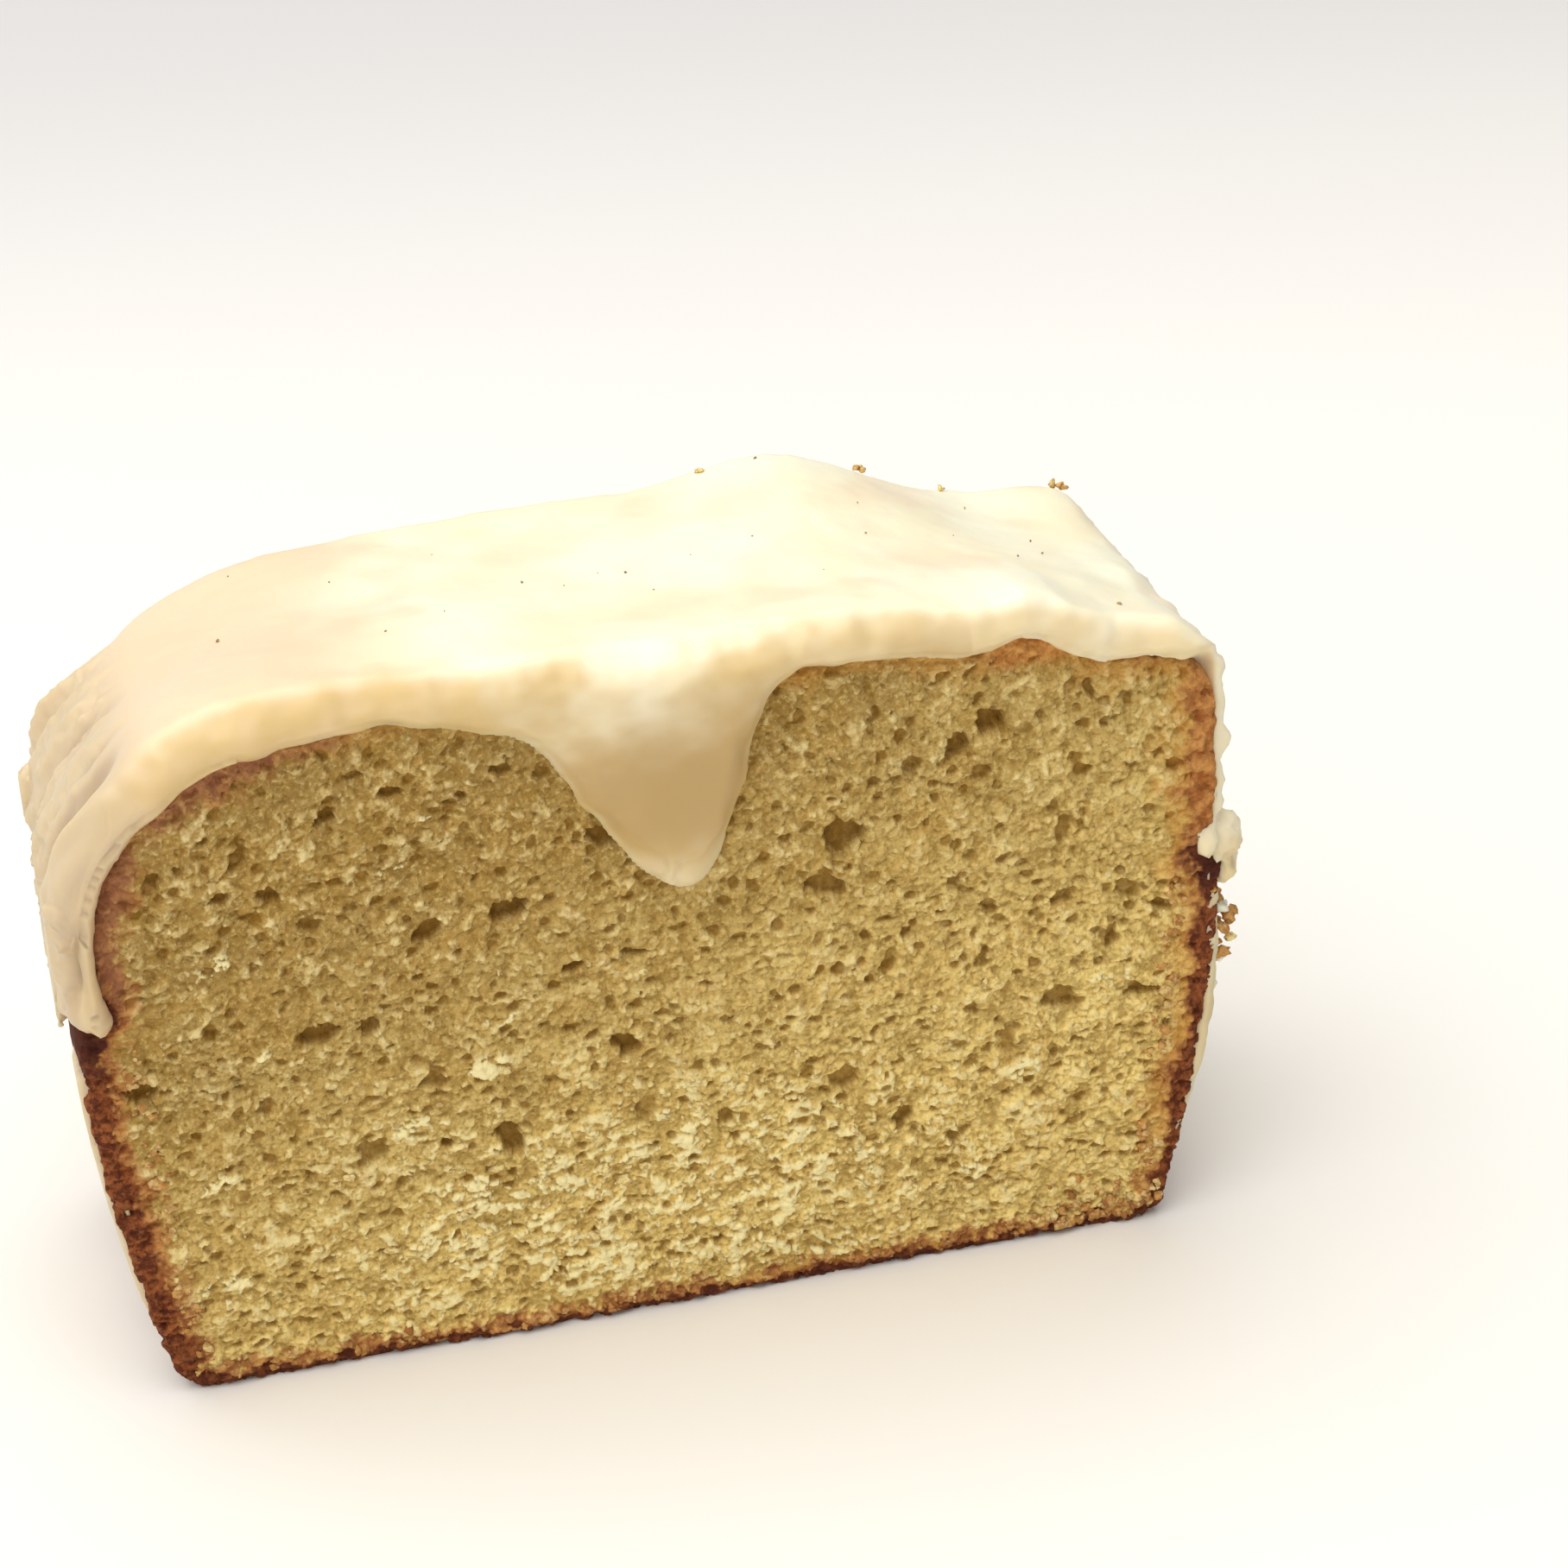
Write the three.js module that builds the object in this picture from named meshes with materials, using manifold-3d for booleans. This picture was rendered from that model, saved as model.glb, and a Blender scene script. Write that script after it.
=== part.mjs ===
// A thick slice of vanilla pound cake, standing on its base crust as it left the loaf tin.
// Two solids: the cake itself, crumb and crust in one piece, and the poured icing that
// caps it, runs down both sides to the ledge and hangs over the front cut in one drip.
// Millimetres, +X to the right along the cut face, +Y from the front cut to the back one,
// +Z up. The origin is the bottom centre of the whole slice.

import * as THREE from "three";
import Module from "manifold-3d";

const wasm = await Module();
wasm.setup();

const { lerp, clamp, smoothstep } = THREE.MathUtils;

// ---------------------------------------------------------------- driving dimensions

const DEPTH = 38; // front cut to back cut
const FRONT = -DEPTH / 2;

const BASE_WIDTH = 100; // the narrow bottom of the tin
const BASE_EDGE = 1.6; // rounding where the base meets the walls
const LEDGE_WIDTH = 111; // the batter's rim in the tin, the widest line of the slice
const LEDGE_HEIGHT = 41;
const LEDGE_ROUND = 2.2; // height of the rounded step above the ledge
const WALL_BULGE = 1.8; // over 1 bows the tin walls outwards

// The risen part above the ledge, each pair at the front cut and at the back cut.
const LEFT_WALL = [53.8, 52.7]; // half widths
const RIGHT_WALL = [53.9, 53.4];
const CROWN_HEIGHT = [70.9, 67.5];
const LEFT_SHOULDER = { width: [20, 27], height: [19, 21], power: [1.02, 1] };
const RIGHT_SHOULDER = { width: [5.5, 6.5], height: [6, 7.5], power: [0.95, 0.95] };
const LEFT_FALL = { drop: [0.8, 1.9], from: -16, to: -38 };
const RIGHT_FALL = { drop: [5.8, 5], from: 18, to: [54, 43] };
// A shoulder's power fills it out when under 1 and flattens it when over 1.

// Swells in the baked top: place along X, place from front (0) to back (1), size.
const TOP_SWELLS = [
  { x: -28, v: 0, height: 0.9, spread: 11, reach: 0.45 },
  { x: 36, v: 0, height: 2.2, spread: 4, reach: 0.25 },
  { x: 19, v: 1, height: 2.5, spread: 10, reach: 0.55 },
  { x: -31, v: 1, height: -0.8, spread: 5, reach: 0.3 },
];

const GAP = 0.3; // between the icing and the cake, which touch in the real slice
const SINK = 1.5; // the icing is built this deep into the cake, then the cake is cut from it
const ICING_TOP = 2.9; // thickness of the poured icing on the top
const ICING_LEFT = 2.2; // and where it ran down each side
const ICING_RIGHT = 1.2;
const ICING_LEDGE = 0.9; // it thins to this where it passes over the ledge
const LEDGE_THIN = [-1, 5.2]; // from this far below the ledge to this far above it
const ICING_TURN = [0.35, 0.95]; // sideways share of a wall, from top thickness to side
const ICING_EDGE = 0.45; // its thickness at its very edge
const ICING_ROUND = 3.6; // width over which its edges round off

// Height at which the icing ends on each side, and the runs that go lower.
const LEFT_END_HEIGHT = 43.4;
const RIGHT_END_HEIGHT = 42.2;
const LEFT_RUNS = [
  { y: -5, length: 7, spread: 4 },
  { y: 9.5, length: 11, spread: 4.6 },
];
const RIGHT_RUNS = [
  { y: -8.5, length: 5, spread: 3.8 },
  { y: 3.5, length: 12, spread: 4.6 },
  { y: 14.5, length: 5, spread: 3.8 },
];
const RUN_START = 53; // height at which the runs leave the even coat

// The poured coat waves in thickness along X, Y and Z (radians per mm, size in mm).
const ICING_WAVES = [
  { height: 0.28, along: [0.23, 0.11, 0] },
  { height: 0.2, along: [-0.09, 0.31, 0.3] },
];

// The rounded lip over the front cut, and the one long drip.
const LIP_HANG = { left: 1.1, right: 0.5, from: -10, to: 50 };
const LIP_PROUD = 1.3;
const LIP_RIPPLE = { height: 0.35, fine: 0.38, coarse: 0.13, shift: 1 };
const LIP_LEVEL = [0.2, 0.8]; // upward share of the crust: the hang is whole from the second
const LIP_BACK = 1.4; // the lip starts to round over this far behind the cut
const LIP_DROP = 0.2; // share of the hang taken by that rounding
const LIP_DROP_HANG = 2; // and of no more hang than this
const TONGUE_POWER = 2.6;
const DRIP = { x: 2.2, length: 20.2, proud: 3.3, left: 10.4, right: 6.3 };
const DRIP_BODY = 12; // half width over which the lip thickens into the drip
const SKIRT = { x: -14, length: 1.5, spread: 6 }; // the lip hangs lower left of the drip

// Beads of icing that set while running: place on the slice and radii.
const BEADS = [
  { x: 55.9, y: FRONT + 1.9, z: 43, radii: [2.5, 2.5, 2.5] },
  { x: 56.1, y: FRONT + 1.4, z: 39.8, radii: [1.7, 1.7, 1.7] },
  { x: 53.1, y: FRONT + 4.4, z: 61.8, radii: [2.2, 2, 1.8] },
  { x: 51.8, y: FRONT + 8.6, z: 64.2, radii: [2.2, 2.2, 1.8] },
  { x: -54.6, y: 15.6, z: 49.5, radii: [2.1, 2.2, 2.6] },
];

// ---------------------------------------------------------------- mesh resolution

const WALL_STEPS = 10;
const LEDGE_STEPS = 5;
const UPPER_STEPS = 5;
const SHOULDER_STEPS = 8;
const TOP_STEPS = 30;
const DEPTH_STEPS = 9;
const FINE_CONTOUR = 4; // the icing reads the contour this many times finer

const ICING_STEP = 3.1; // along the contour
const DRIP_STEP = 1.25; // and near the drip
const SIDE_STEPS = 7; // from the even coat down to the icing's edge
const SIDE_CROWDING = 1.5; // over 1 crowds those steps towards the edge
const DRIP_REACH = { left: 1.8, right: 2.2 }; // the fine steps, in half widths of the drip
const TOP_ROWS = 18; // from the back cut to the lip
const LIP_ROWS = 4; // round the lip
const HANG_ROWS = 6; // down the front cut
const BEAD_DETAIL = 2; // subdivisions of a bead's icosahedron

// ---------------------------------------------------------------- the baked contour

const bell = (distance, spread) => Math.exp(-((distance / spread) ** 2));

const frontToBack = (pair, v) => lerp(pair[0], pair[1], v);

// Height of the baked top above the base, v running from 0 at the front to 1 at the back.
function topHeight(x, v) {
  const left = smoothstep(-x, -LEFT_FALL.from, -LEFT_FALL.to);
  const right = smoothstep(x, RIGHT_FALL.from, frontToBack(RIGHT_FALL.to, v));
  const swells = TOP_SWELLS.reduce(
    (sum, s) => sum + s.height * bell(x - s.x, s.spread) * bell(v - s.v, s.reach),
    0,
  );
  return (
    frontToBack(CROWN_HEIGHT, v) -
    left * frontToBack(LEFT_FALL.drop, v) -
    right * frontToBack(RIGHT_FALL.drop, v) +
    swells
  );
}

// One side from the base up to where the top begins, as distances outwards and heights.
function sideProfile(walls, shoulder, side, v, finer) {
  const wall = frontToBack(walls, v);
  const points = [new THREE.Vector2(BASE_WIDTH / 2 - BASE_EDGE, 0)];
  const bottom = BASE_EDGE / LEDGE_HEIGHT;
  const flare = (LEDGE_WIDTH - BASE_WIDTH) / 2;
  for (let i = 0; i <= WALL_STEPS * finer; i++) {
    const t = lerp(bottom, 1, i / (WALL_STEPS * finer));
    const x = BASE_WIDTH / 2 + flare * (1 - (1 - t) ** WALL_BULGE);
    points.push(new THREE.Vector2(x, t * LEDGE_HEIGHT));
  }
  const step = LEDGE_WIDTH / 2 - wall;
  for (let i = 1; i <= LEDGE_STEPS * finer; i++) {
    const t = i / (LEDGE_STEPS * finer);
    const x = LEDGE_WIDTH / 2 - step * smoothstep(t, 0, 1);
    points.push(new THREE.Vector2(x, LEDGE_HEIGHT + LEDGE_ROUND * t));
  }
  const width = frontToBack(shoulder.width, v);
  const height = frontToBack(shoulder.height, v);
  const power = frontToBack(shoulder.power, v);
  const top = topHeight(side * (wall - width), v);
  const from = LEDGE_HEIGHT + LEDGE_ROUND;
  for (let i = 1; i <= UPPER_STEPS * finer; i++) {
    const z = lerp(from, top - height, i / (UPPER_STEPS * finer));
    points.push(new THREE.Vector2(wall, z));
  }
  for (let i = 1; i <= SHOULDER_STEPS * finer; i++) {
    const angle = (i / (SHOULDER_STEPS * finer)) * (Math.PI / 2);
    const out = Math.cos(angle) ** power;
    const up = Math.sin(angle) ** power;
    points.push(
      new THREE.Vector2(wall - width + width * out, top - height + height * up),
    );
  }
  return points;
}

// The outline of the cake from the left end of the base, over the top, to the right end.
function contour(v, finer = 1) {
  const left = sideProfile(LEFT_WALL, LEFT_SHOULDER, -1, v, finer);
  const right = sideProfile(RIGHT_WALL, RIGHT_SHOULDER, 1, v, finer);
  const points = left.map((p) => new THREE.Vector2(-p.x, p.y));
  const from = points.at(-1).x;
  const to = right.at(-1).x;
  for (let i = 1; i < TOP_STEPS * finer; i++) {
    const x = lerp(from, to, i / (TOP_STEPS * finer));
    points.push(new THREE.Vector2(x, topHeight(x, v)));
  }
  return points.concat(right.reverse());
}

// ---------------------------------------------------------------- closed surfaces

function solidGeometry(positions, triangles) {
  return new THREE.BufferGeometry()
    .setAttribute("position", new THREE.Float32BufferAttribute(positions, 3))
    .setIndex(triangles);
}

// A body through closed rings of equal length, with a flat fan over each end.
function loft(rings) {
  const count = rings[0].length;
  const positions = rings.flat().flatMap((p) => [p.x, p.y, p.z]);
  const triangles = [];
  for (let r = 0; r + 1 < rings.length; r++) {
    for (let i = 0; i < count; i++) {
      const a = r * count + i;
      const b = r * count + ((i + 1) % count);
      triangles.push(a, b, b + count, a, b + count, a + count);
    }
  }
  [0, rings.length - 1].forEach((r) => {
    const ring = rings[r];
    const middle = ring.reduce((sum, p) => sum.add(p), new THREE.Vector3());
    middle.divideScalar(count);
    const hub = positions.length / 3;
    positions.push(middle.x, middle.y, middle.z);
    for (let i = 0; i < count; i++) {
      const a = r * count + i;
      const b = r * count + ((i + 1) % count);
      triangles.push(...(r === 0 ? [hub, b, a] : [hub, a, b]));
    }
  });
  return solidGeometry(positions, triangles);
}

// A body between two grids of equal size, closed round its four edges.
function slab(inner, outer) {
  const rows = inner.length;
  const columns = inner[0].length;
  const layer = rows * columns;
  const positions = [...inner.flat(), ...outer.flat()].flatMap((p) => [p.x, p.y, p.z]);
  const triangles = [];
  const quad = (a, b, c, d) => triangles.push(a, c, b, a, d, c);
  for (let r = 0; r + 1 < rows; r++) {
    for (let c = 0; c + 1 < columns; c++) {
      const a = r * columns + c;
      quad(a, a + 1, a + columns + 1, a + columns);
      quad(layer + a + columns, layer + a + columns + 1, layer + a + 1, layer + a);
    }
  }
  for (let r = 0; r + 1 < rows; r++) {
    const near = r * columns;
    const far = near + columns - 1;
    quad(near, near + columns, near + columns + layer, near + layer);
    quad(far + layer, far + columns + layer, far + columns, far);
  }
  for (let c = 0; c + 1 < columns; c++) {
    const last = layer - columns + c;
    quad(c + layer, c + 1 + layer, c + 1, c);
    quad(last, last + 1, last + 1 + layer, last + layer);
  }
  return solidGeometry(positions, triangles);
}

// ---------------------------------------------------------------- cake

// The cake, or the same shape grown by a margin on its contour and both cuts.
function cakeGeometry(margin = 0) {
  const rings = [];
  for (let i = 0; i <= DEPTH_STEPS; i++) {
    const v = i / DEPTH_STEPS;
    const y = lerp(FRONT - margin, -FRONT + margin, v);
    const points = contour(v);
    const ring = points.map((p, k) => {
      const before = points[Math.max(k - 1, 0)];
      const after = points[Math.min(k + 1, points.length - 1)];
      const along = after.clone().sub(before).normalize();
      return new THREE.Vector3(p.x - along.y * margin, y, p.y + along.x * margin);
    });
    rings.push(ring);
  }
  return loft(rings);
}

// ---------------------------------------------------------------- icing

// The contour at v read by length along it, with the direction that faces outwards.
function readContour(v) {
  const points = contour(v, FINE_CONTOUR);
  const lengths = [0];
  for (let i = 1; i < points.length; i++) {
    lengths.push(lengths[i - 1] + points[i].distanceTo(points[i - 1]));
  }
  const at = (length) => {
    const s = clamp(length, 0, lengths.at(-1));
    let i = 1;
    while (lengths[i] < s && i + 1 < lengths.length) i++;
    const t = (s - lengths[i - 1]) / (lengths[i] - lengths[i - 1]);
    return points[i - 1].clone().lerp(points[i], t);
  };
  const atHeight = (z, fromRight) => {
    const order = points.map((_, i) => (fromRight ? points.length - 1 - i : i));
    const k = order.findIndex((i) => points[i].y >= z);
    const [a, b] = [order[k - 1], order[k]];
    return lerp(lengths[a], lengths[b], (z - points[a].y) / (points[b].y - points[a].y));
  };
  return { at, atHeight, middle: atHeight(LEDGE_HEIGHT, false) };
}

// Outwards from the contour, read over a span so that the ledge doesn't turn it.
const NORMAL_SPAN = 7;
function outwards(reader, s) {
  const along = reader.at(s + NORMAL_SPAN).sub(reader.at(s - NORMAL_SPAN));
  return new THREE.Vector2(-along.y, along.x).normalize();
}

// 0 at an edge of the icing, rising in a quarter round to 1 at the given width from it.
const roundOff = (distance, width = ICING_ROUND) =>
  Math.sqrt(1 - (1 - clamp(distance / width, 0, 1)) ** 2);

// A tongue of icing, rounder at its tip than a bell.
const tongue = (distance, spread) =>
  Math.exp(-((Math.abs(distance) / spread) ** TONGUE_POWER));

function endHeight(height, runs, y) {
  return runs.reduce((z, run) => z - run.length * tongue(y - run.y, run.spread), height);
}

// Thickness of the icing on the cake at a point of its contour.
function coat(point, facing, y) {
  const side = facing.x < 0 ? ICING_LEFT : ICING_RIGHT;
  const turned = smoothstep(Math.abs(facing.x), ...ICING_TURN);
  const sound = lerp(ICING_TOP, side, turned);
  const above = point.y - LEDGE_HEIGHT;
  const uneven = ICING_WAVES.reduce((sum, { height, along }) => {
    const phase = point.x * along[0] + y * along[1] + point.y * along[2];
    return sum + height * Math.sin(phase);
  }, 0);
  return lerp(ICING_LEDGE, sound + uneven, smoothstep(above, ...LEDGE_THIN));
}

// How far the icing hangs down the front cut below the top edge, at x.
function hang(x, upwards) {
  const rightwards = smoothstep(x, LIP_HANG.from, LIP_HANG.to);
  const lip = lerp(LIP_HANG.left, LIP_HANG.right, rightwards);
  const spread = x < DRIP.x ? DRIP.left : DRIP.right;
  const { height, fine, coarse, shift } = LIP_RIPPLE;
  const ripple = height * Math.sin(x * fine) * Math.sin(x * coarse + shift);
  const skirt = SKIRT.length * bell(x - SKIRT.x, SKIRT.spread);
  const drip = DRIP.length * tongue(x - DRIP.x, spread);
  return lip + ripple + upwards * (skirt + drip);
}

// Slope of the hanging edge at x, read over a millimetre.
function hangSlope(x, upwards) {
  const reach = 0.5;
  return (hang(x + reach, upwards) - hang(x - reach, upwards)) / (2 * reach);
}

// Where the icing has its rows: each is a share of one of three stretches of the
// contour, the left run-off (0), the even coat (1) and the right run-off (2).
function icingRows(reader) {
  const from = reader.atHeight(RUN_START, false);
  const to = reader.atHeight(RUN_START, true);
  const steps = Array.from(
    { length: SIDE_STEPS },
    (_, i) => (i / SIDE_STEPS) ** SIDE_CROWDING,
  );
  const rows = steps.map((share) => ({ stretch: 0, share }));
  const drip = [
    DRIP.x - DRIP_REACH.left * DRIP.left,
    DRIP.x + DRIP_REACH.right * DRIP.right,
  ];
  for (let s = from; s < to - DRIP_STEP; ) {
    rows.push({ stretch: 1, share: (s - from) / (to - from) });
    const p = reader.at(s);
    const near = p.x > drip[0] && p.x < drip[1] && p.y > RUN_START;
    s += near ? DRIP_STEP : ICING_STEP;
  }
  steps.reverse().forEach((share) => rows.push({ stretch: 2, share: 1 - share }));
  return rows;
}

function icingGeometry() {
  const readers = Array.from({ length: TOP_ROWS + 1 }, (_, k) =>
    readContour(1 - k / TOP_ROWS),
  );
  const rows = icingRows(readers[TOP_ROWS]);
  const inner = [];
  const outer = [];
  rows.forEach(({ stretch, share }) => {
    const inside = [];
    const outside = [];
    const put = (list, at, facing, out, y) =>
      list.push(new THREE.Vector3(at.x + facing.x * out, y, at.y + facing.y * out));
    const place = (reader, y) => {
      const stops = [
        reader.atHeight(endHeight(LEFT_END_HEIGHT, LEFT_RUNS, y), false),
        reader.atHeight(RUN_START, false),
        reader.atHeight(RUN_START, true),
        reader.atHeight(endHeight(RIGHT_END_HEIGHT, RIGHT_RUNS, y), true),
      ];
      const s = lerp(stops[stretch], stops[stretch + 1], share);
      const point = reader.at(s);
      const facing = outwards(reader, s);
      const full = coat(point, facing, y);
      const toEdge = Math.min(s - stops[0], stops[3] - s);
      const thick = ICING_EDGE + (full - ICING_EDGE) * roundOff(toEdge);
      return { point, facing, thick, full };
    };

    // Along the top or side, from the back cut to just behind the lip.
    const front = readers[TOP_ROWS];
    const lipAt = place(front, FRONT);
    const upwards = smoothstep(lipAt.facing.y, ...LIP_LEVEL);
    const { point, facing, thick } = lipAt;
    const soundness = thick / lipAt.full; // falls off at the icing's ends
    const hanging = soundness * hang(point.x, upwards);
    const steepness = Math.hypot(1, hangSlope(point.x, upwards));
    const body = upwards * bell(point.x - DRIP.x, DRIP_BODY);
    const proud = lerp(LIP_PROUD, DRIP.proud, body) * soundness;
    const lipStart = FRONT - GAP + LIP_BACK;
    for (let k = 0; k < TOP_ROWS; k++) {
      const y = lerp(-FRONT, lipStart, k / TOP_ROWS);
      const row = place(readers[k], y);
      put(inside, row.point, row.facing, -SINK, y);
      put(outside, row.point, row.facing, GAP + row.thick, y);
    }

    // Round the lip.
    const drop = LIP_DROP * Math.min(hanging, LIP_DROP_HANG);
    for (let k = 0; k <= LIP_ROWS; k++) {
      const angle = (k / LIP_ROWS) * (Math.PI / 2);
      const up = GAP - drop + (thick + drop) * Math.cos(angle);
      const y = lipStart - (LIP_BACK + proud) * Math.sin(angle);
      put(inside, point, facing, -SINK, FRONT + SINK);
      put(outside, point, facing, up, y);
    }

    // Down the front cut.
    for (let k = 1; k <= HANG_ROWS; k++) {
      const down = lerp(drop - GAP, hanging, k / HANG_ROWS);
      const width = Math.min(ICING_ROUND, (hanging + GAP - drop) / steepness);
      const rounded = roundOff((hanging - down) / steepness, width);
      const bulge = ICING_EDGE + (proud - ICING_EDGE) * rounded;
      put(inside, point, facing, -SINK - down, FRONT + SINK);
      put(outside, point, facing, -down, FRONT - GAP - bulge);
    }
    inner.push(inside);
    outer.push(outside);
  });
  return slab(inner, outer);
}

// ---------------------------------------------------------------- beads on the icing

function toManifold(geometry) {
  return new wasm.Manifold(
    new wasm.Mesh({
      numProp: 3,
      vertProperties: new Float32Array(geometry.getAttribute("position").array),
      triVerts: new Uint32Array(geometry.getIndex().array),
    }),
  );
}

function fromManifold(solid) {
  const mesh = solid.getMesh();
  return solidGeometry(Array.from(mesh.vertProperties), Array.from(mesh.triVerts));
}

// A bead is an icosphere drawn out to its three radii.
function beadGeometry({ x, y, z, radii }) {
  const ball = new THREE.IcosahedronGeometry(1, BEAD_DETAIL);
  const merged = new Map();
  const positions = [];
  const triangles = [];
  const source = ball.getAttribute("position");
  for (let i = 0; i < source.count; i++) {
    const p = new THREE.Vector3().fromBufferAttribute(source, i);
    const key = p.toArray().map((n) => n.toFixed(4)).join();
    if (!merged.has(key)) {
      merged.set(key, positions.length / 3);
      positions.push(x + p.x * radii[0], y + p.y * radii[1], z + p.z * radii[2]);
    }
    triangles.push(merged.get(key));
  }
  return solidGeometry(positions, triangles);
}

// The poured icing and its beads joined, less the cake grown by the gap.
function wholeIcing() {
  const poured = toManifold(icingGeometry());
  const iced = BEADS.reduce((sum, b) => sum.add(toManifold(beadGeometry(b))), poured);
  const bodies = iced.subtract(toManifold(cakeGeometry(GAP))).decompose();
  bodies.sort((a, b) => b.volume() - a.volume());
  return fromManifold(bodies[0]);
}

// ---------------------------------------------------------------- the slice

const crumb = new THREE.MeshStandardMaterial({ color: "#c9b277", roughness: 0.9 });
const icingCream = new THREE.MeshStandardMaterial({ color: "#f3e6c0", roughness: 0.35 });

const cake = new THREE.Mesh(cakeGeometry(), crumb);
cake.name = "cake";

const icing = new THREE.Mesh(wholeIcing(), icingCream);
icing.name = "icing";

const slice = new THREE.Group();
slice.add(cake, icing);

// The origin goes to the bottom centre of the slice with its icing.
const box = new THREE.Box3().setFromObject(slice);
slice.position.set(-(box.min.x + box.max.x) / 2, -(box.min.y + box.max.y) / 2, -box.min.z);

const part = new THREE.Group();
part.add(slice);

export default part;
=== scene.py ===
import math
import random

import bmesh
import bpy
import numpy as np
from mathutils import Matrix, Vector, noise
from mathutils.bvhtree import BVHTree


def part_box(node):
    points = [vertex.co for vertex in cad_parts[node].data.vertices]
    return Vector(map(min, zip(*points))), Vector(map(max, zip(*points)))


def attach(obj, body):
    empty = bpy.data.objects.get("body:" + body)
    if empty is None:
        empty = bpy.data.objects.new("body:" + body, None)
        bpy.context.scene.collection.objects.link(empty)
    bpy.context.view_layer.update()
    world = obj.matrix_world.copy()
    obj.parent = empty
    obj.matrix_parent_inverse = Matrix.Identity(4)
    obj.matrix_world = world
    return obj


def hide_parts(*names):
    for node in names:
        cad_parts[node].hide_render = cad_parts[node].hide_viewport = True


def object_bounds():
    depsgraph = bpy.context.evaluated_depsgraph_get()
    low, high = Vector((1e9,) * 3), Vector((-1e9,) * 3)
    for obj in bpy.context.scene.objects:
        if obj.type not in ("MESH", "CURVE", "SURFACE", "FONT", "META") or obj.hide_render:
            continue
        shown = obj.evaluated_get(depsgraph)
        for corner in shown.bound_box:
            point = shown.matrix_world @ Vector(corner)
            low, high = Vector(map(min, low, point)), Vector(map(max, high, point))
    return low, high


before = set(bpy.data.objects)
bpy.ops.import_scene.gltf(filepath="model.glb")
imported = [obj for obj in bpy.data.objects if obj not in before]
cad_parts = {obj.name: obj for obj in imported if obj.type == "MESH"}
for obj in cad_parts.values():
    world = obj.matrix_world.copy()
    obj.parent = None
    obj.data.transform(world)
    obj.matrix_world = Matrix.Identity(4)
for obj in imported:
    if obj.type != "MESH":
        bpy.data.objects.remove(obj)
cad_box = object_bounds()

MM = 0.001

# ---------------------------------------------------------------------------------------
# Table, light and camera: a table covered in pale baking paper, under one large soft light
# from above and a weak one from the front, as food is shown.
# ---------------------------------------------------------------------------------------

cake_low, cake_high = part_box("cake")
MIDDLE = (cake_low.x + cake_high.x) / 2
FRONT = cake_low.y
BACK = cake_high.y

# The camera stands before the foot of the front cut, looks down and a little to the right.
LENS = 89.2
CAMERA_OFFSET = Vector((-60.88, -304.56, 237.81)) * MM
CAMERA_YAW = math.radians(13.456)
CAMERA_PITCH = math.radians(29.924)
CAMERA_ROLL = math.radians(-2.042)

forward = Vector(
    (
        math.sin(CAMERA_YAW) * math.cos(CAMERA_PITCH),
        math.cos(CAMERA_YAW) * math.cos(CAMERA_PITCH),
        -math.sin(CAMERA_PITCH),
    )
)
level = Vector((math.cos(CAMERA_YAW), -math.sin(CAMERA_YAW), 0))
upright = level.cross(forward)
right = level * math.cos(CAMERA_ROLL) + upright * math.sin(CAMERA_ROLL)
up = upright * math.cos(CAMERA_ROLL) - level * math.sin(CAMERA_ROLL)

camera = bpy.data.objects.new("camera", bpy.data.cameras.new("camera"))
camera.data.lens = LENS
camera.data.sensor_width = 36
camera.data.clip_start = 0.02
camera.matrix_world = Matrix.Translation(
    Vector((MIDDLE, FRONT, 0)) + CAMERA_OFFSET
) @ Matrix((right, up, -forward)).transposed().to_4x4()
bpy.context.scene.collection.objects.link(camera)
bpy.context.scene.camera = camera
bpy.context.scene.view_settings.view_transform = "Standard"


def linear(code):
    """An sRGB hex colour as linear RGBA."""
    parts = [int(code[i : i + 2], 16) / 255 for i in (1, 3, 5)]
    return [c / 12.92 if c <= 0.04045 else ((c + 0.055) / 1.055) ** 2.4 for c in parts] + [1]


def add_node(tree, kind, inputs=None, **settings):
    """A node of that kind with its settings, and its inputs set or linked."""
    node = tree.nodes.new(kind)
    for name, value in settings.items():
        setattr(node, name, value)
    for key, value in (inputs or {}).items():
        if isinstance(value, bpy.types.NodeSocket):
            tree.links.new(value, node.inputs[key])
        else:
            node.inputs[key].default_value = value
    return node


def new_material(name):
    """An empty node material and its tree."""
    material = bpy.data.materials.new(name)
    material.use_nodes = True
    material.node_tree.nodes.clear()
    return material, material.node_tree


def lamp(name, place, aim, size, watts, code):
    """A square soft light that faces the aim point."""
    data = bpy.data.lights.new(name, "AREA")
    data.shape = "SQUARE"
    data.size = size
    data.energy = watts
    data.color = linear(code)[:3]
    light = bpy.data.objects.new(name, data)
    light.location = place
    light.rotation_euler = (Vector(aim) - Vector(place)).to_track_quat("-Z", "Y").to_euler()
    bpy.context.scene.collection.objects.link(light)
    return light


HEART = (0, 0, 0.03)  # m, the middle of the slice, which both lights face
lamp("overhead_softbox", (-0.22, 0.0, 1.0), HEART, size=1.6, watts=20.5, code="#fffefc")
lamp("front_fill", (-0.3, -1.1, 0.5), HEART, size=0.8, watts=2.7, code="#fffaf2")

world = bpy.data.worlds.new("studio")
world.use_nodes = True
surroundings = world.node_tree.nodes["Background"].inputs
surroundings["Color"].default_value = linear("#f7f5f4")
surroundings["Strength"].default_value = 0.15
bpy.context.scene.world = world

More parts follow.
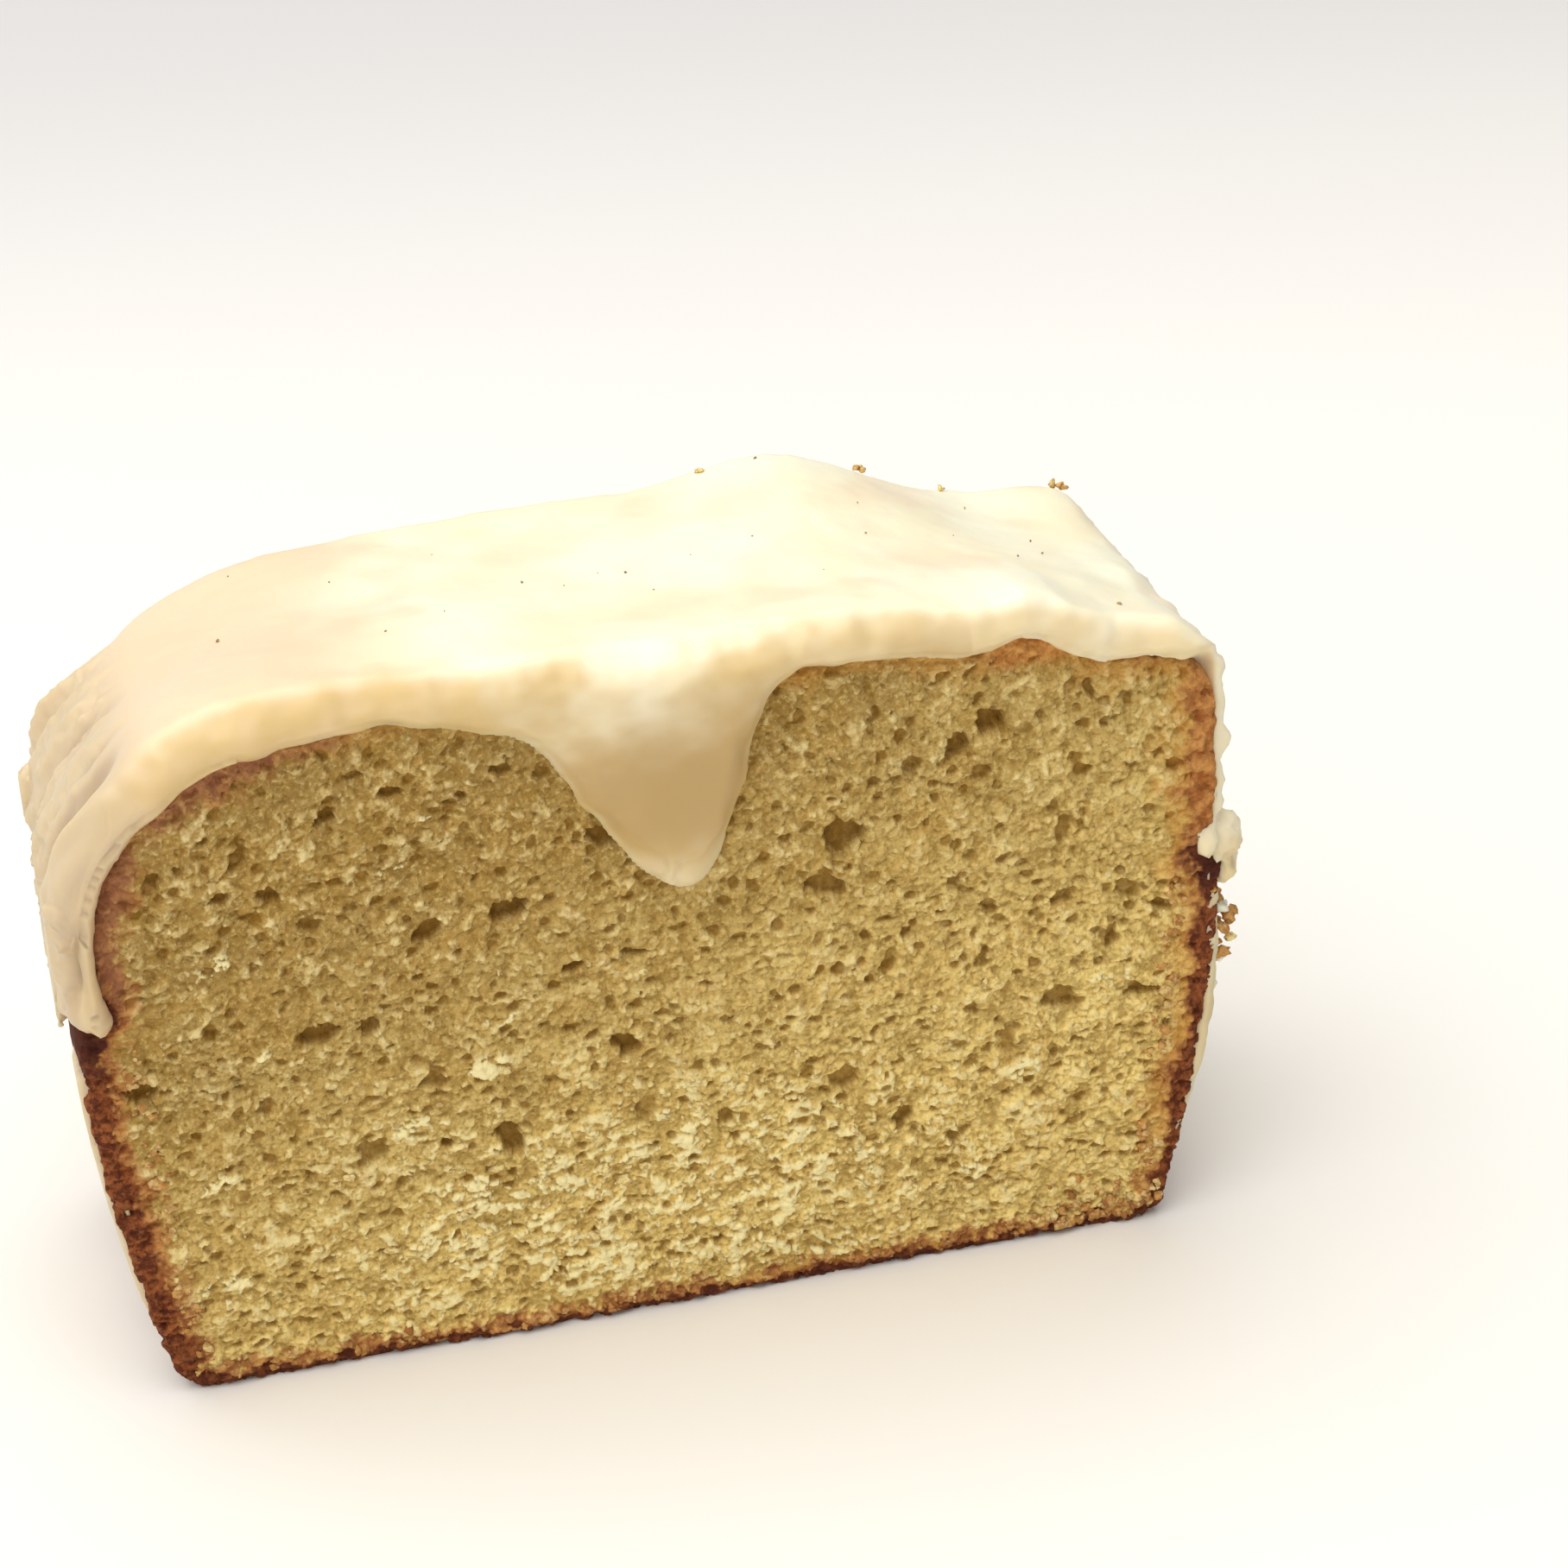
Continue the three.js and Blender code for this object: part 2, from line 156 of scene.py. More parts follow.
bpy.ops.object.select_all(action="DESELECT")
bpy.ops.mesh.primitive_plane_add(size=12, location=(0, 0, 0))
table = bpy.context.object
table.name = "table"

# Matt baking paper of one warm white, with painted shade that makes it a cooler, greyer white far behind
# the slice, between two distances in metres.
PAPER_NEAR, PAPER_FAR = 0.12, 0.42
paper, tree = new_material("baking_paper")
place = add_node(tree, "ShaderNodeTexCoord").outputs["Object"]
depth = add_node(tree, "ShaderNodeSeparateXYZ", {"Vector": place}).outputs["Y"]
far = add_node(
    tree,
    "ShaderNodeMapRange",
    {"Value": depth, "From Min": PAPER_NEAR, "From Max": PAPER_FAR},
    interpolation_type="SMOOTHSTEP",
).outputs[0]
shade = add_node(
    tree,
    "ShaderNodeMix",
    {"Factor": far, 6: linear("#f3f0ea"), 7: linear("#dcdad9")},
    data_type="RGBA",
).outputs[2]
shader = add_node(
    tree,
    "ShaderNodeBsdfPrincipled",
    {"Base Color": shade, "Roughness": 0.85, "Specular IOR Level": 0.2},
)
add_node(tree, "ShaderNodeOutputMaterial", {"Surface": shader.outputs[0]})
table.data.materials.append(paper)

# ---------------------------------------------------------------------------------------
# The cake: butter sponge with a fine open crumb, baked in a loaf tin, so that its walls and
# base have a thin brown crust, and cut with a knife at the front and back. It is one body, kept
# as pieces that meet on its inside: four along the front cut, and the rest behind them.
# ---------------------------------------------------------------------------------------

CAKE_VOXEL = 0.62  # mm
FINER = 4  # times as many faces along each edge on the front cut
PIECE_DEPTH = 4.2  # mm from the front cut to where the front pieces meet the back one
PIECE_ENDS = (-60, -27.5, 0, 27, 60)  # mm, where the front pieces meet each other
DEPTH = (BACK - FRONT) / MM  # mm from cut to cut
LEDGE = 41.0  # mm, height of the ledge that the tin's rim left
CUT_REACH = 4  # mm behind a cut, within which what faces along Y belongs to it
CHIP = 0.8  # mm, how deep the knife chipped the crust
BACK_DROP = 0.5  # mm that the back cut is sunk, so that none of its grains stands proud
DEEPEST, PROUDEST = -2.6, 0.7  # mm, the furthest that the front cut's relief goes
TORN_LIFT = 0.3  # mm that a torn crumb stands up
TO_BACK = 300  # mm along the crumb's pattern from the front cut's part of it to the back's


def apply_modifier(piece, kind, **settings):
    bpy.ops.object.select_all(action="DESELECT")
    bpy.context.view_layer.objects.active = piece
    piece.select_set(True)
    modifier = piece.modifiers.new(kind.lower(), kind)
    for name, value in settings.items():
        setattr(modifier, name, value)
    bpy.ops.object.modifier_apply(modifier=modifier.name)


def whole_copy(node, name, voxel):
    """A copy of a CAD node as one closed mesh of even fine faces."""
    piece = bpy.data.objects.new(name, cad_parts[node].data.copy())
    piece.data.materials.clear()
    bpy.context.scene.collection.objects.link(piece)
    bpy.ops.object.select_all(action="DESELECT")
    bpy.context.view_layer.objects.active = piece
    piece.select_set(True)
    bpy.ops.object.mode_set(mode="EDIT")
    bpy.ops.mesh.select_all(action="SELECT")
    bpy.ops.mesh.remove_doubles(threshold=1e-6)
    bpy.ops.object.mode_set(mode="OBJECT")
    apply_modifier(piece, "REMESH", mode="VOXEL", voxel_size=voxel * MM, use_smooth_shade=True)
    return piece


def read_points(mesh):
    """Vertex places in mm, X from the middle, Y from the front cut, Z from the base."""
    flat = np.empty(len(mesh.vertices) * 3, np.float32)
    mesh.vertices.foreach_get("co", flat)
    return (flat.reshape(-1, 3) - (MIDDLE, FRONT, 0)) / MM


def write_points(mesh, points):
    flat = (points * MM + (MIDDLE, FRONT, 0)).astype(np.float32)
    mesh.vertices.foreach_set("co", flat.ravel())
    mesh.update()


def read_normals(mesh):
    flat = np.empty(len(mesh.vertices) * 3, np.float32)
    mesh.vertex_normals.foreach_get("vector", flat)
    return flat.reshape(-1, 3)


def store(mesh, name, values):
    """Keeps a number for each vertex, for the material to read."""
    attribute = mesh.attributes.new(name, "FLOAT", "POINT")
    attribute.data.foreach_set("value", np.clip(values, 0, 1).astype(np.float32))


def smooth_step(values, low, high):
    t = np.clip((values - low) / (high - low), 0, 1)
    return t * t * (3 - 2 * t)


def noise_field(points, scale, octaves=2, shift=0.0):
    """Smooth noise around 0 whose lumps are scale mm across."""
    move = Vector((shift, shift * 1.7, -shift))
    return np.array([noise.fractal(Vector(p) / scale + move, 0.7, 2.1, octaves) for p in points])


def scatter(a, b, seed):
    """A number from 0 to 1 for each whole-number pair, as if drawn by lot."""
    return np.modf(np.abs(np.sin(a * 127.1 + b * 311.7 + seed * 74.7) * 43758.5453))[0]


def cells(u, v, seed):
    """Cells strewn over the plane: distance to the nearest and next centre, and a lot number."""
    near = np.full(len(u), 9.0)
    following = near.copy()
    lot = np.zeros(len(u))
    for a in (-1, 0, 1):
        for b in (-1, 0, 1):
            i, j = np.floor(u) + a, np.floor(v) + b
            away = np.hypot(i + scatter(i, j, seed) - u, j + scatter(i, j, seed + 0.37) - v)
            closer = away < near
            following = np.where(closer, near, np.minimum(following, away))
            lot = np.where(closer, scatter(i, j, seed + 0.71), lot)
            near = np.where(closer, away, near)
    return near, following, lot


def select_faces(piece, wanted):
    """Edit mode with just the wanted faces selected."""
    bpy.ops.object.select_all(action="DESELECT")
    bpy.context.view_layer.objects.active = piece
    piece.select_set(True)
    bpy.ops.object.mode_set(mode="EDIT")
    bpy.context.tool_settings.mesh_select_mode = (False, False, True)
    bpy.ops.mesh.select_all(action="DESELECT")
    bpy.ops.object.mode_set(mode="OBJECT")
    piece.data.polygons.foreach_set("select", wanted)
    bpy.ops.object.mode_set(mode="EDIT")


def face_centres(mesh):
    flat = np.empty(len(mesh.polygons) * 3, np.float32)
    mesh.polygons.foreach_get("center", flat)
    return (flat.reshape(-1, 3) - (MIDDLE, FRONT, 0)) / MM


cake = whole_copy("cake", "cake", CAKE_VOXEL)

# The front cut gets the finest faces.
select_faces(cake, face_centres(cake.data)[:, 1] < 0.7)
bpy.ops.mesh.subdivide(number_cuts=FINER - 1)
bpy.ops.object.mode_set(mode="OBJECT")
centres = face_centres(cake.data)
points = read_points(cake.data)
normals = read_normals(cake.data)
x, y, z = points.T

# How far each point is from the outside of the loaf, and which crust is nearest.
loaf = bmesh.new()
loaf.from_mesh(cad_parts["cake"].data)
cuts = [face for face in loaf.faces if abs(face.normal.y) > 0.5]
bmesh.ops.delete(loaf, geom=cuts, context="FACES")
outside = BVHTree.FromBMesh(loaf)
loaf.free()
found = [outside.find_nearest(Vector(p) * MM + Vector((MIDDLE, FRONT, 0))) for p in points]
rim = np.array([f[3] for f in found]) / MM
nearest = (np.array([f[0][:] for f in found]) - (MIDDLE, FRONT, 0)) / MM
facing = np.array([f[1][:] for f in found])

on_base = smooth_step(-facing[:, 2], 0.5, 0.9)
above = smooth_step(nearest[:, 2], LEDGE + 1, LEDGE + 6)
on_top = smooth_step(facing[:, 2], 0.35, 0.9) * above
on_shoulder = smooth_step(-nearest[:, 0], 18, 42) * above
on_sides = (1 - on_base) * (1 - on_top)
on_left = smooth_step(-nearest[:, 0], 20, 40)

# Weights of the two cuts and of the crust at each point.
at_front = np.clip(-normals[:, 1], 0, 1) * (y < CUT_REACH)
at_back = np.clip(normals[:, 1], 0, 1) * (y > DEPTH - CUT_REACH)
at_crust = np.sqrt(np.clip(1 - normals[:, 1] ** 2, 0, 1))
cut = np.maximum(at_front, at_back) > 0.05


def waves(u, v, seed):
    """Smooth noise from -1 to 1 over the plane."""
    i, j = np.floor(u), np.floor(v)
    s, t = u - i, v - j
    s, t = s * s * (3 - 2 * s), t * t * (3 - 2 * t)
    low = scatter(i, j, seed) * (1 - s) + scatter(i + 1, j, seed) * s
    high = scatter(i, j + 1, seed) * (1 - s) + scatter(i + 1, j + 1, seed) * s
    return 2 * (low * (1 - t) + high * t) - 1


def layers(u, v, seed, count):
    """Layers of waves, each half as large and 0.6 as strong as the last."""
    return sum(0.6**n * waves(u * 2**n + 7.3 * n, v * 2**n, seed + n) for n in range(count))


# The crumb is torn into small flat flakes. Real ones are 0.3 to 1 mm across, and the finest
# are drawn at 0.5 mm so that they show. The pattern is pulled about by slow and fine waves.
FLAKE = 0.95  # mm
FINE_FLAKE = 0.5  # mm
BUBBLE = (1.7, 1.5)  # mm along and up, the room that one small bubble has


def grains_from(near, lot):
    """Domed grains of uneven height, from the distance to each one's centre."""
    return np.sqrt(np.clip(1 - (near / 0.8) ** 2, 0, 1)) * (0.25 + 0.75 * lot)


u = (x + TO_BACK * (y > DEPTH / 2))[cut]
v = z[cut]
u, v = (
    u
    + 0.7 * waves(u / 6.5, v / 6.5, 1)
    + 0.3 * waves(u / 1.4, v / 1.2, 2)
    + 0.12 * waves(u / 0.5, v / 0.45, 3),
    v
    + 0.7 * waves(u / 6.5, v / 6.5, 4)
    + 0.25 * waves(u / 1.4, v / 1.2, 5)
    + 0.12 * waves(u / 0.5, v / 0.45, 6),
)
flat = 1.4 - 0.004 * v  # how much the grains are pressed flat

near, following, lot = cells(u / FLAKE, v * flat / FLAKE, 1)
grain = grains_from(near, lot)
gap = 1 - smooth_step(following - near, 0.0, 0.22)
tint = lot
near, following, lot = cells(u / FINE_FLAKE, v * flat / FINE_FLAKE, 2)
speck = grains_from(near, lot)
gap = 0.6 * gap + 0.4 * (1 - smooth_step(following - near, 0.0, 0.25))
tint = 0.6 * tint + 0.4 * lot
near, following, lot = cells(u / BUBBLE[0], v * flat / BUBBLE[1], 3)
bubble = smooth_step(0.06 + 0.38 * lot - near, 0.0, 0.14) * smooth_step(lot, 0.5, 0.9)
rough = layers(u / 1.9, v * flat / 1.9, 30, 4)
slow = layers(u / 15, v / 12, 40, 2)

# Relief of the cut in mm; a grain tone that is paler on raised grains and darker in the gaps, partly the
# crumb's own colour and partly painted highlight and painted shade; and how deep each point looks, where
# the hole darkness is partly painted shade.
height = 0.36 * grain + 0.2 * speck - 0.28 + 0.2 * rough + 0.25 * slow - 0.4 * bubble - 0.1 * gap
grain_tone_and_shade = 0.12 + 0.42 * grain + 0.36 * speck + 0.22 * rough - 0.15 * gap
pore = 0.6 * bubble * (0.5 + lot)
front = at_front[cut] > 0.5
back = at_back[cut] > 0.5

# The larger holes of the front cut: place, size, turn in degrees, and depth from 0 to 1.
HOLES = [
    (-36.5, 54.0, 2.8, 2.0, 0, 0.7), (-32.7, 49.8, 1.8, 1.6, 0, 0.6), (-29.3, 51.3, 1.6, 0.9, 0, 0.4),
    (-22.2, 47.9, 2.4, 2.3, -35, 0.9), (-14.8, 48.4, 4.3, 2.8, 10, 0.8), (-9.3, 41.4, 2.5, 1.7, 15, 1.0),
    (-4.7, 31.7, 3.9, 2.9, -20, 0.9), (-33.3, 38.4, 3.7, 2.3, 10, 0.8), (-28.7, 38.0, 2.8, 2.3, 30, 0.7),
    (-23.1, 32.0, 2.5, 3.3, 40, 0.5), (-22.4, 23.8, 1.5, 1.5, 0, 1.0), (-16.3, 23.1, 2.9, 3.8, 20, 0.9),
    (-29.5, 23.8, 2.3, 2.8, 0, 0.5), (-2.7, 23.8, 2.6, 2.4, 20, 0.4), (-3.1, 41.7, 2.7, 0.9, -5, 0.8),
    (28.5, 44.3, 1.7, 1.9, 0, 0.7), (26.8, 40.5, 1.4, 1.0, 0, 0.7), (23.1, 38.5, 1.6, 1.6, 0, 1.0),
    (19.5, 39.3, 1.4, 1.4, 0, 0.9), (21.1, 36.1, 1.4, 1.2, 20, 0.7), (31.3, 34.7, 1.4, 2.4, -30, 0.8),
    (32.2, 40.4, 2.2, 2.0, -30, 0.6), (39.6, 39.6, 2.5, 2.6, -50, 0.7), (37.6, 36.5, 1.4, 1.0, 0, 0.6),
    (39.1, 47.9, 1.6, 2.5, -10, 0.6), (44.5, 35.2, 1.1, 2.4, -5, 1.0), (46.2, 39.8, 2.7, 2.0, 20, 0.6),
    (49.8, 37.7, 2.4, 2.0, -30, 0.9), (38.8, 29.1, 3.1, 2.4, -20, 0.6), (29.7, 29.3, 1.8, 2.0, 0, 0.6),
    (33.5, 24.7, 1.8, 3.1, -20, 0.4), (47.9, 28.0, 3.9, 1.2, -12, 0.9), (22.9, 17.9, 2.0, 2.1, 0, 1.0),
    (24.1, 15.6, 1.6, 1.2, 0, 0.8), (27.8, 14.0, 1.8, 1.9, 20, 0.8), (36.6, 17.9, 1.5, 1.0, 10, 0.7),
    (39.4, 22.8, 1.8, 1.4, 0, 0.5), (32.3, 60.8, 2.9, 2.6, -35, 1.0), (28.8, 58.8, 2.1, 4.5, -28, 0.7),
    (17.7, 51.1, 4.1, 3.4, 40, 0.8), (15.9, 45.4, 3.9, 1.9, 5, 0.7), (41.3, 54.0, 1.6, 1.4, 0, 0.8),
    (31.2, 55.5, 1.6, 1.5, 20, 0.7), (42.0, 62.5, 1.0, 3.0, 30, 0.8), (24.3, 57.8, 2.2, 1.9, 30, 0.4),
    (17.0, 23.5, 3.2, 2.6, 25, 0.6), (4.9, 21.6, 2.3, 2.0, 10, 0.9), (-27.6, 65.4, 1.7, 1.4, 0, 0.7),
    (-24.5, 63.4, 2.7, 1.2, -5, 0.8), (-30.6, 61.6, 2.0, 2.9, -40, 0.9), (-39.4, 58.3, 1.6, 2.9, -30, 0.7),
    (-41.3, 54.5, 2.2, 1.8, 10, 0.7), (-47.1, 57.4, 1.4, 2.2, -30, 0.7), (-5.7, 54.9, 2.8, 1.8, -20, 0.9),
    (-14.3, 63.6, 2.4, 1.4, -10, 0.7), (-50.1, 35.2, 3.2, 2.5, 10, 0.9), (-22.4, 38.9, 2.1, 1.5, 10, 0.5),
    (49.5, 53.3, 1.9, 1.5, 0, 0.8), (-42.2, 61.0, 1.2, 1.1, 0, 0.6), (-11.7, 29.2, 1.5, 1.2, 0, 0.5),
    (11.0, 34.6, 1.7, 1.2, 15, 0.6), (7.4, 42.1, 1.7, 1.2, 0, 0.5), (-40.5, 6.2, 1.7, 1.4, 0, 0.9),
    (20.5, 56.8, 1.7, 1.3, 10, 0.5), (-42.7, 41.1, 1.8, 1.5, 0, 0.6), (-38.9, 30.7, 2.0, 1.4, 10, 0.5),
]
HOLE_DEPTH = 0.5  # of the hole's mean width
HALF_WIDE, HIGHEST = 52, 68  # mm, how far over a cut the small holes are strewn

seeded = random.Random(4)


def small_holes(count, smallest, largest, shift=0.0):
    """Holes strewn over a cut, more of them towards the top, with widths in mm."""
    holes = []
    while len(holes) < count:
        px, pz = seeded.uniform(-HALF_WIDE, HALF_WIDE), seeded.uniform(3, HIGHEST)
        if seeded.random() < 0.3 + 0.7 * pz / HIGHEST:
            width = smallest + (largest - smallest) * seeded.random() ** 2.2
            tall = width * seeded.uniform(0.5, 1.0)
            turn, deep = seeded.uniform(-35, 35), seeded.uniform(0.15, 0.8)
            holes.append((px + shift, pz, width, tall, turn, deep))
    return holes


index = np.argsort(u)
along = u[index]


def sink_holes(holes):
    """Lowers the cut under each hole, with steep uneven walls."""
    for px, pz, width, tall, turn, deep in holes:
        reach = 0.75 * max(width, tall)
        some = index[np.searchsorted(along, px - reach) : np.searchsorted(along, px + reach)]
        dx, dz = u[some] - px, v[some] - pz
        c, s = math.cos(math.radians(turn)), math.sin(math.radians(turn))
        off = np.hypot((dx * c + dz * s) / (width / 2), (dz * c - dx * s) / (tall / 2))
        inside = 1 - smooth_step(off + 0.3 * rough[some], 0.72, 1.02)
        kept = 1 - 0.4 * inside
        fall = HOLE_DEPTH * (width + tall) / 2 * (0.5 + 0.7 * deep)
        height[some] = height[some] * kept - fall * inside
        # In a hole the tone is made darker, partly the crumb's own colour and partly painted shade.
        grain_tone_and_shade[some] = grain_tone_and_shade[some] * kept + 0.15 * inside
        pore[some] = np.maximum(pore[some], inside * (0.35 + 0.65 * deep))


sink_holes(HOLES + small_holes(300, 0.5, 1.5))
sink_holes(small_holes(420, 0.9, 2.2, TO_BACK) + small_holes(60, 1.8, 4.0, TO_BACK))

# Torn crumb that stands up pale from the cut: place and spread, most of it low down.
TORN = [
    (0.5, 19.8, 5.2, 2.4), (-18.5, 16.9, 7.7, 6.1), (-23.0, 13.2, 4.3, 3.1), (12.7, 4.5, 4.5, 2.5),
    (9.6, 6.8, 3.6, 2.1), (-38.1, 37.6, 1.6, 1.1), (-16.3, 37.7, 2.5, 2.1), (8.6, 15.9, 2.7, 2.1),
    (-12.5, 17.2, 5.2, 3.0), (25.9, 22.6, 3.6, 1.4), (-21.8, 60.5, 1.3, 1.4), (-25.5, 54.8, 1.9, 2.2),
    (-42.0, 47.6, 3.2, 2.2), (-1.9, 23.2, 2.6, 1.4), (18.7, 14.8, 3.6, 1.7), (-25.3, 26.0, 5.0, 2.0),
    (-8.0, 5.8, 5.3, 1.7), (17.7, 7.7, 2.7, 1.7), (-18.2, 32.4, 4.2, 1.9), (-44.5, 23.5, 3.0, 2.2),
    (-45.0, 12.0, 4.0, 3.0), (36.0, 21.0, 4.0, 2.0), (44.0, 30.5, 4.0, 1.6), (30.0, 10.0, 4.0, 2.0),
]
torn = np.zeros(len(u))
for px, pz, width, tall in TORN:
    off = np.hypot((u - px) / (0.62 * width), (v - pz) / (0.62 * tall))
    torn = np.maximum(torn, 1 - smooth_step(off, 0.3, 1.3))
low_middle = np.exp(-(((u + 2) / 38) ** 2) - ((v - 13) / 15) ** 2)
torn = (1.2 * torn + 0.6 * low_middle + 0.2) * smooth_step(tint + 0.3 * rough, 0.5, 0.8)
torn = np.clip(torn, 0, 1) * (1 - np.clip(1.6 * pore, 0, 1)) * front
height += TORN_LIFT * torn

# Near the crust nothing sinks so deep that it would break through.
height = np.clip(np.maximum(height, -0.2 - 0.7 * rim[cut]), DEEPEST, PROUDEST)
height[back] = np.minimum(height[back] - BACK_DROP, 0)

# Crust: finely pitted and uneven, chipped where the knife met it. Under the icing it is
# whole, and at the base it stays within the flat that it stands on.
crusty = at_crust > 0.05
skin = np.zeros(len(points))
skin[crusty] = 0.3 * noise_field(points[crusty], 2.2, 3, 31.0)
skin[crusty] += 0.3 * noise_field(points[crusty], 7.0, 2, 37.0)
chipped = np.zeros(len(points))
chipped[crusty] = noise_field(points[crusty], 1.3, 2, 41.0)
edge = np.clip(np.minimum(y, DEPTH - y), 0, None)
covered = above * on_sides
skin -= CHIP * smooth_step(chipped, 0.05, 0.55) * np.exp(-edge) * (1 - covered)
skin = np.clip(skin, -1.0 + 0.8 * covered, 0.3)
skin[on_base > 0.5] = np.minimum(skin[on_base > 0.5], 0)

outward = normals * (1, 0, 1)
outward /= np.maximum(np.linalg.norm(outward, axis=1, keepdims=True), 1e-6)
moved = points + outward * (skin * at_crust)[:, None]

# The upper right wall swells 0.9 mm towards the front cut.
upper_right = smooth_step(x, 44, 53.9) * smooth_step(z, 43, 46) * (1 - smooth_step(z, 58, 65))
moved[:, 0] += 0.9 * upper_right * (1 - smooth_step(y, 2, 7))
moved[cut, 1] += (at_back - at_front)[cut] * height
moved[:, 2] = np.maximum(moved[:, 2], 0)
write_points(cake.data, moved)

# How brown each point is: a dark skin, a brown band behind it, and gold fading into the crumb.
# The crust is thicker at the left foot.
ragged = noise_field(points, 1.7, 3, 51.0)
uneven = noise_field(points, 6.0, 2, 57.0)
width = np.maximum(1 + (0.5 + 0.5 * on_base) * ragged + 0.35 * uneven, 0.15)
left_foot = np.exp(-(((x + 49) / 5) ** 2) - (z / 5) ** 2)
width += 0.8 * left_foot


def by_crust(base, sides, top):
    """A width in mm that differs on the base, the sides and the top."""
    return base * on_base + sides * on_sides + top * on_top


skin_width = by_crust(1.05, 2.1, 0.4) * width
band = by_crust(2.2, 3.2 + 0.7 * on_left, 1.4 + 3.2 * on_shoulder) * width
gold = by_crust(3.2, 6.5 - 1.5 * on_left, 4.5) * (1 + 0.3 * ragged + 0.3 * uneven)
strength = np.maximum(on_base + on_sides, (0.5 + 0.4 * on_shoulder) * on_top)
edge_skin = (1 - smooth_step(rim, 0.55 * skin_width, 1.35 * skin_width)) * strength
store(cake.data, "skin", edge_skin * (1 - covered * (0.6 + 0.1 * (1 - on_left))))
store(cake.data, "brown", (1 - smooth_step(rim, 0.3 * band, 1.45 * band)) * strength)
golden = (1 - smooth_step(rim, 0.2 * gold, 1.1 * gold)) * np.maximum(strength, 0.7)
store(cake.data, "gold", golden)

# Amber under the icing on the right, and where the lip leaves a notch bare; nearly black at the
# ledge, and duller under the icing on the left.
notch = np.exp(-(((x - 35.5) / 4.5) ** 2) - ((z - 67.8) / 1.7) ** 2) * (y < 2)
amber = covered * (1 - on_left) * (1 - smooth_step(rim, 0.8 * width, 3.4 * width))
store(cake.data, "amber", np.maximum(0.9 * amber, 1.3 * notch * (1 + 0.5 * ragged)))
at_ledge = np.exp(-(((nearest[:, 2] - LEDGE) / 3.2) ** 2)) * on_sides
burnt = np.maximum(at_ledge * (rim < 5), 0.45 * on_base * (rim < 1.6))
store(cake.data, "burnt", burnt * (1 + 0.4 * ragged))
dull = np.maximum(on_shoulder, covered * on_left) * (1 - smooth_step(rim, 2.0, 6.0))
store(cake.data, "shoulder", dull)
on_cut = np.zeros(len(points))
for name, values in (("pore", pore), ("grain_tone_and_shade", grain_tone_and_shade), ("torn", torn), ("tint", tint)):
    on_cut[:] = 0.5 if name in ("grain_tone_and_shade", "tint") else 0
    on_cut[cut] = values
    store(cake.data, name, on_cut)
# The crumb is painted paler low down and to the right and darker at the upper left: partly its own tone,
# partly painted light from the table below and painted shade under the icing's lip.
store(cake.data, "pale", 1.25 - 0.0205 * z + 0.008 * x + 0.13 * uneven)


# Butter sponge, baked and cut: straw-gold crumb, matt, with olive-brown holes and darker gaps between
# grains that are partly its own colour and partly painted shade, paler raised grains that are partly
# painted highlight, painted shade at the upper left and painted light low down; and a crust that is nearly
# black-brown at the rim and base and golden where it thins. The real specks are 0.1 to 0.3 mm across, and
# are drawn at 0.35 to 0.7 mm so that they show.
sponge, tree = new_material("butter_sponge")
place = add_node(tree, "ShaderNodeTexCoord").outputs["Object"]


def attribute(name):
    return add_node(tree, "ShaderNodeAttribute", attribute_name=name).outputs["Fac"]


def blend(factor, low, high):
    """Colour from low to high by the factor."""
    return add_node(
        tree,
        "ShaderNodeMix",
        {"Factor": factor, 6: low, 7: high},
        data_type="RGBA",
    ).outputs[2]


def speckle(size, detail=2.0, rough=0.5):
    """Noise from 0 to 1 whose lumps are size mm across."""
    return add_node(
        tree,
        "ShaderNodeTexNoise",
        {"Vector": place, "Scale": 1 / (size * MM), "Detail": detail, "Roughness": rough},
    ).outputs["Fac"]


def remap(value, low, high, to_low=0.0, to_high=1.0):
    return add_node(
        tree,
        "ShaderNodeMapRange",
        {"Value": value, "From Min": low, "From Max": high, "To Min": to_low, "To Max": to_high},
        interpolation_type="SMOOTHSTEP",
    ).outputs[0]


# Crumb base from the pale number: painted light low down and painted shade at the upper left, with the
# crumb's own tone.
crumb = blend(attribute("pale"), linear("#b09152"), linear("#ffe28d"))
crumb = blend(remap(speckle(5.0, 3), 0.4, 0.65, 0, 0.3), crumb, linear("#cfa453"))
crumb = blend(remap(speckle(1.7, 3, 0.6), 0.5, 0.7, 0, 0.4), crumb, linear("#c79a4c"))
crumb = blend(remap(attribute("tint"), 0.5, 1.0, 0, 0.5), crumb, linear("#f4de9a"))
# Low grain tone darkens the gaps and high tone lightens the raised grains: partly the crumb's colour,
# partly painted shade and painted highlight.
crumb = blend(remap(attribute("grain_tone_and_shade"), 0.1, 0.6, 0.6, 0), crumb, linear("#967430"))
crumb = blend(remap(attribute("grain_tone_and_shade"), 0.6, 1.0, 0, 0.65), crumb, linear("#fce8ac"))
crumb = blend(remap(speckle(0.45, 3, 0.6), 0.48, 0.72, 0, 0.5), crumb, linear("#f4d98e"))
crumb = blend(remap(speckle(0.7, 3, 0.6), 0.55, 0.35, 0, 0.45), crumb, linear("#946d1f"))
crumb = blend(remap(attribute("torn"), 0.1, 0.8, 0, 0.9), crumb, linear("#fff1b6"))
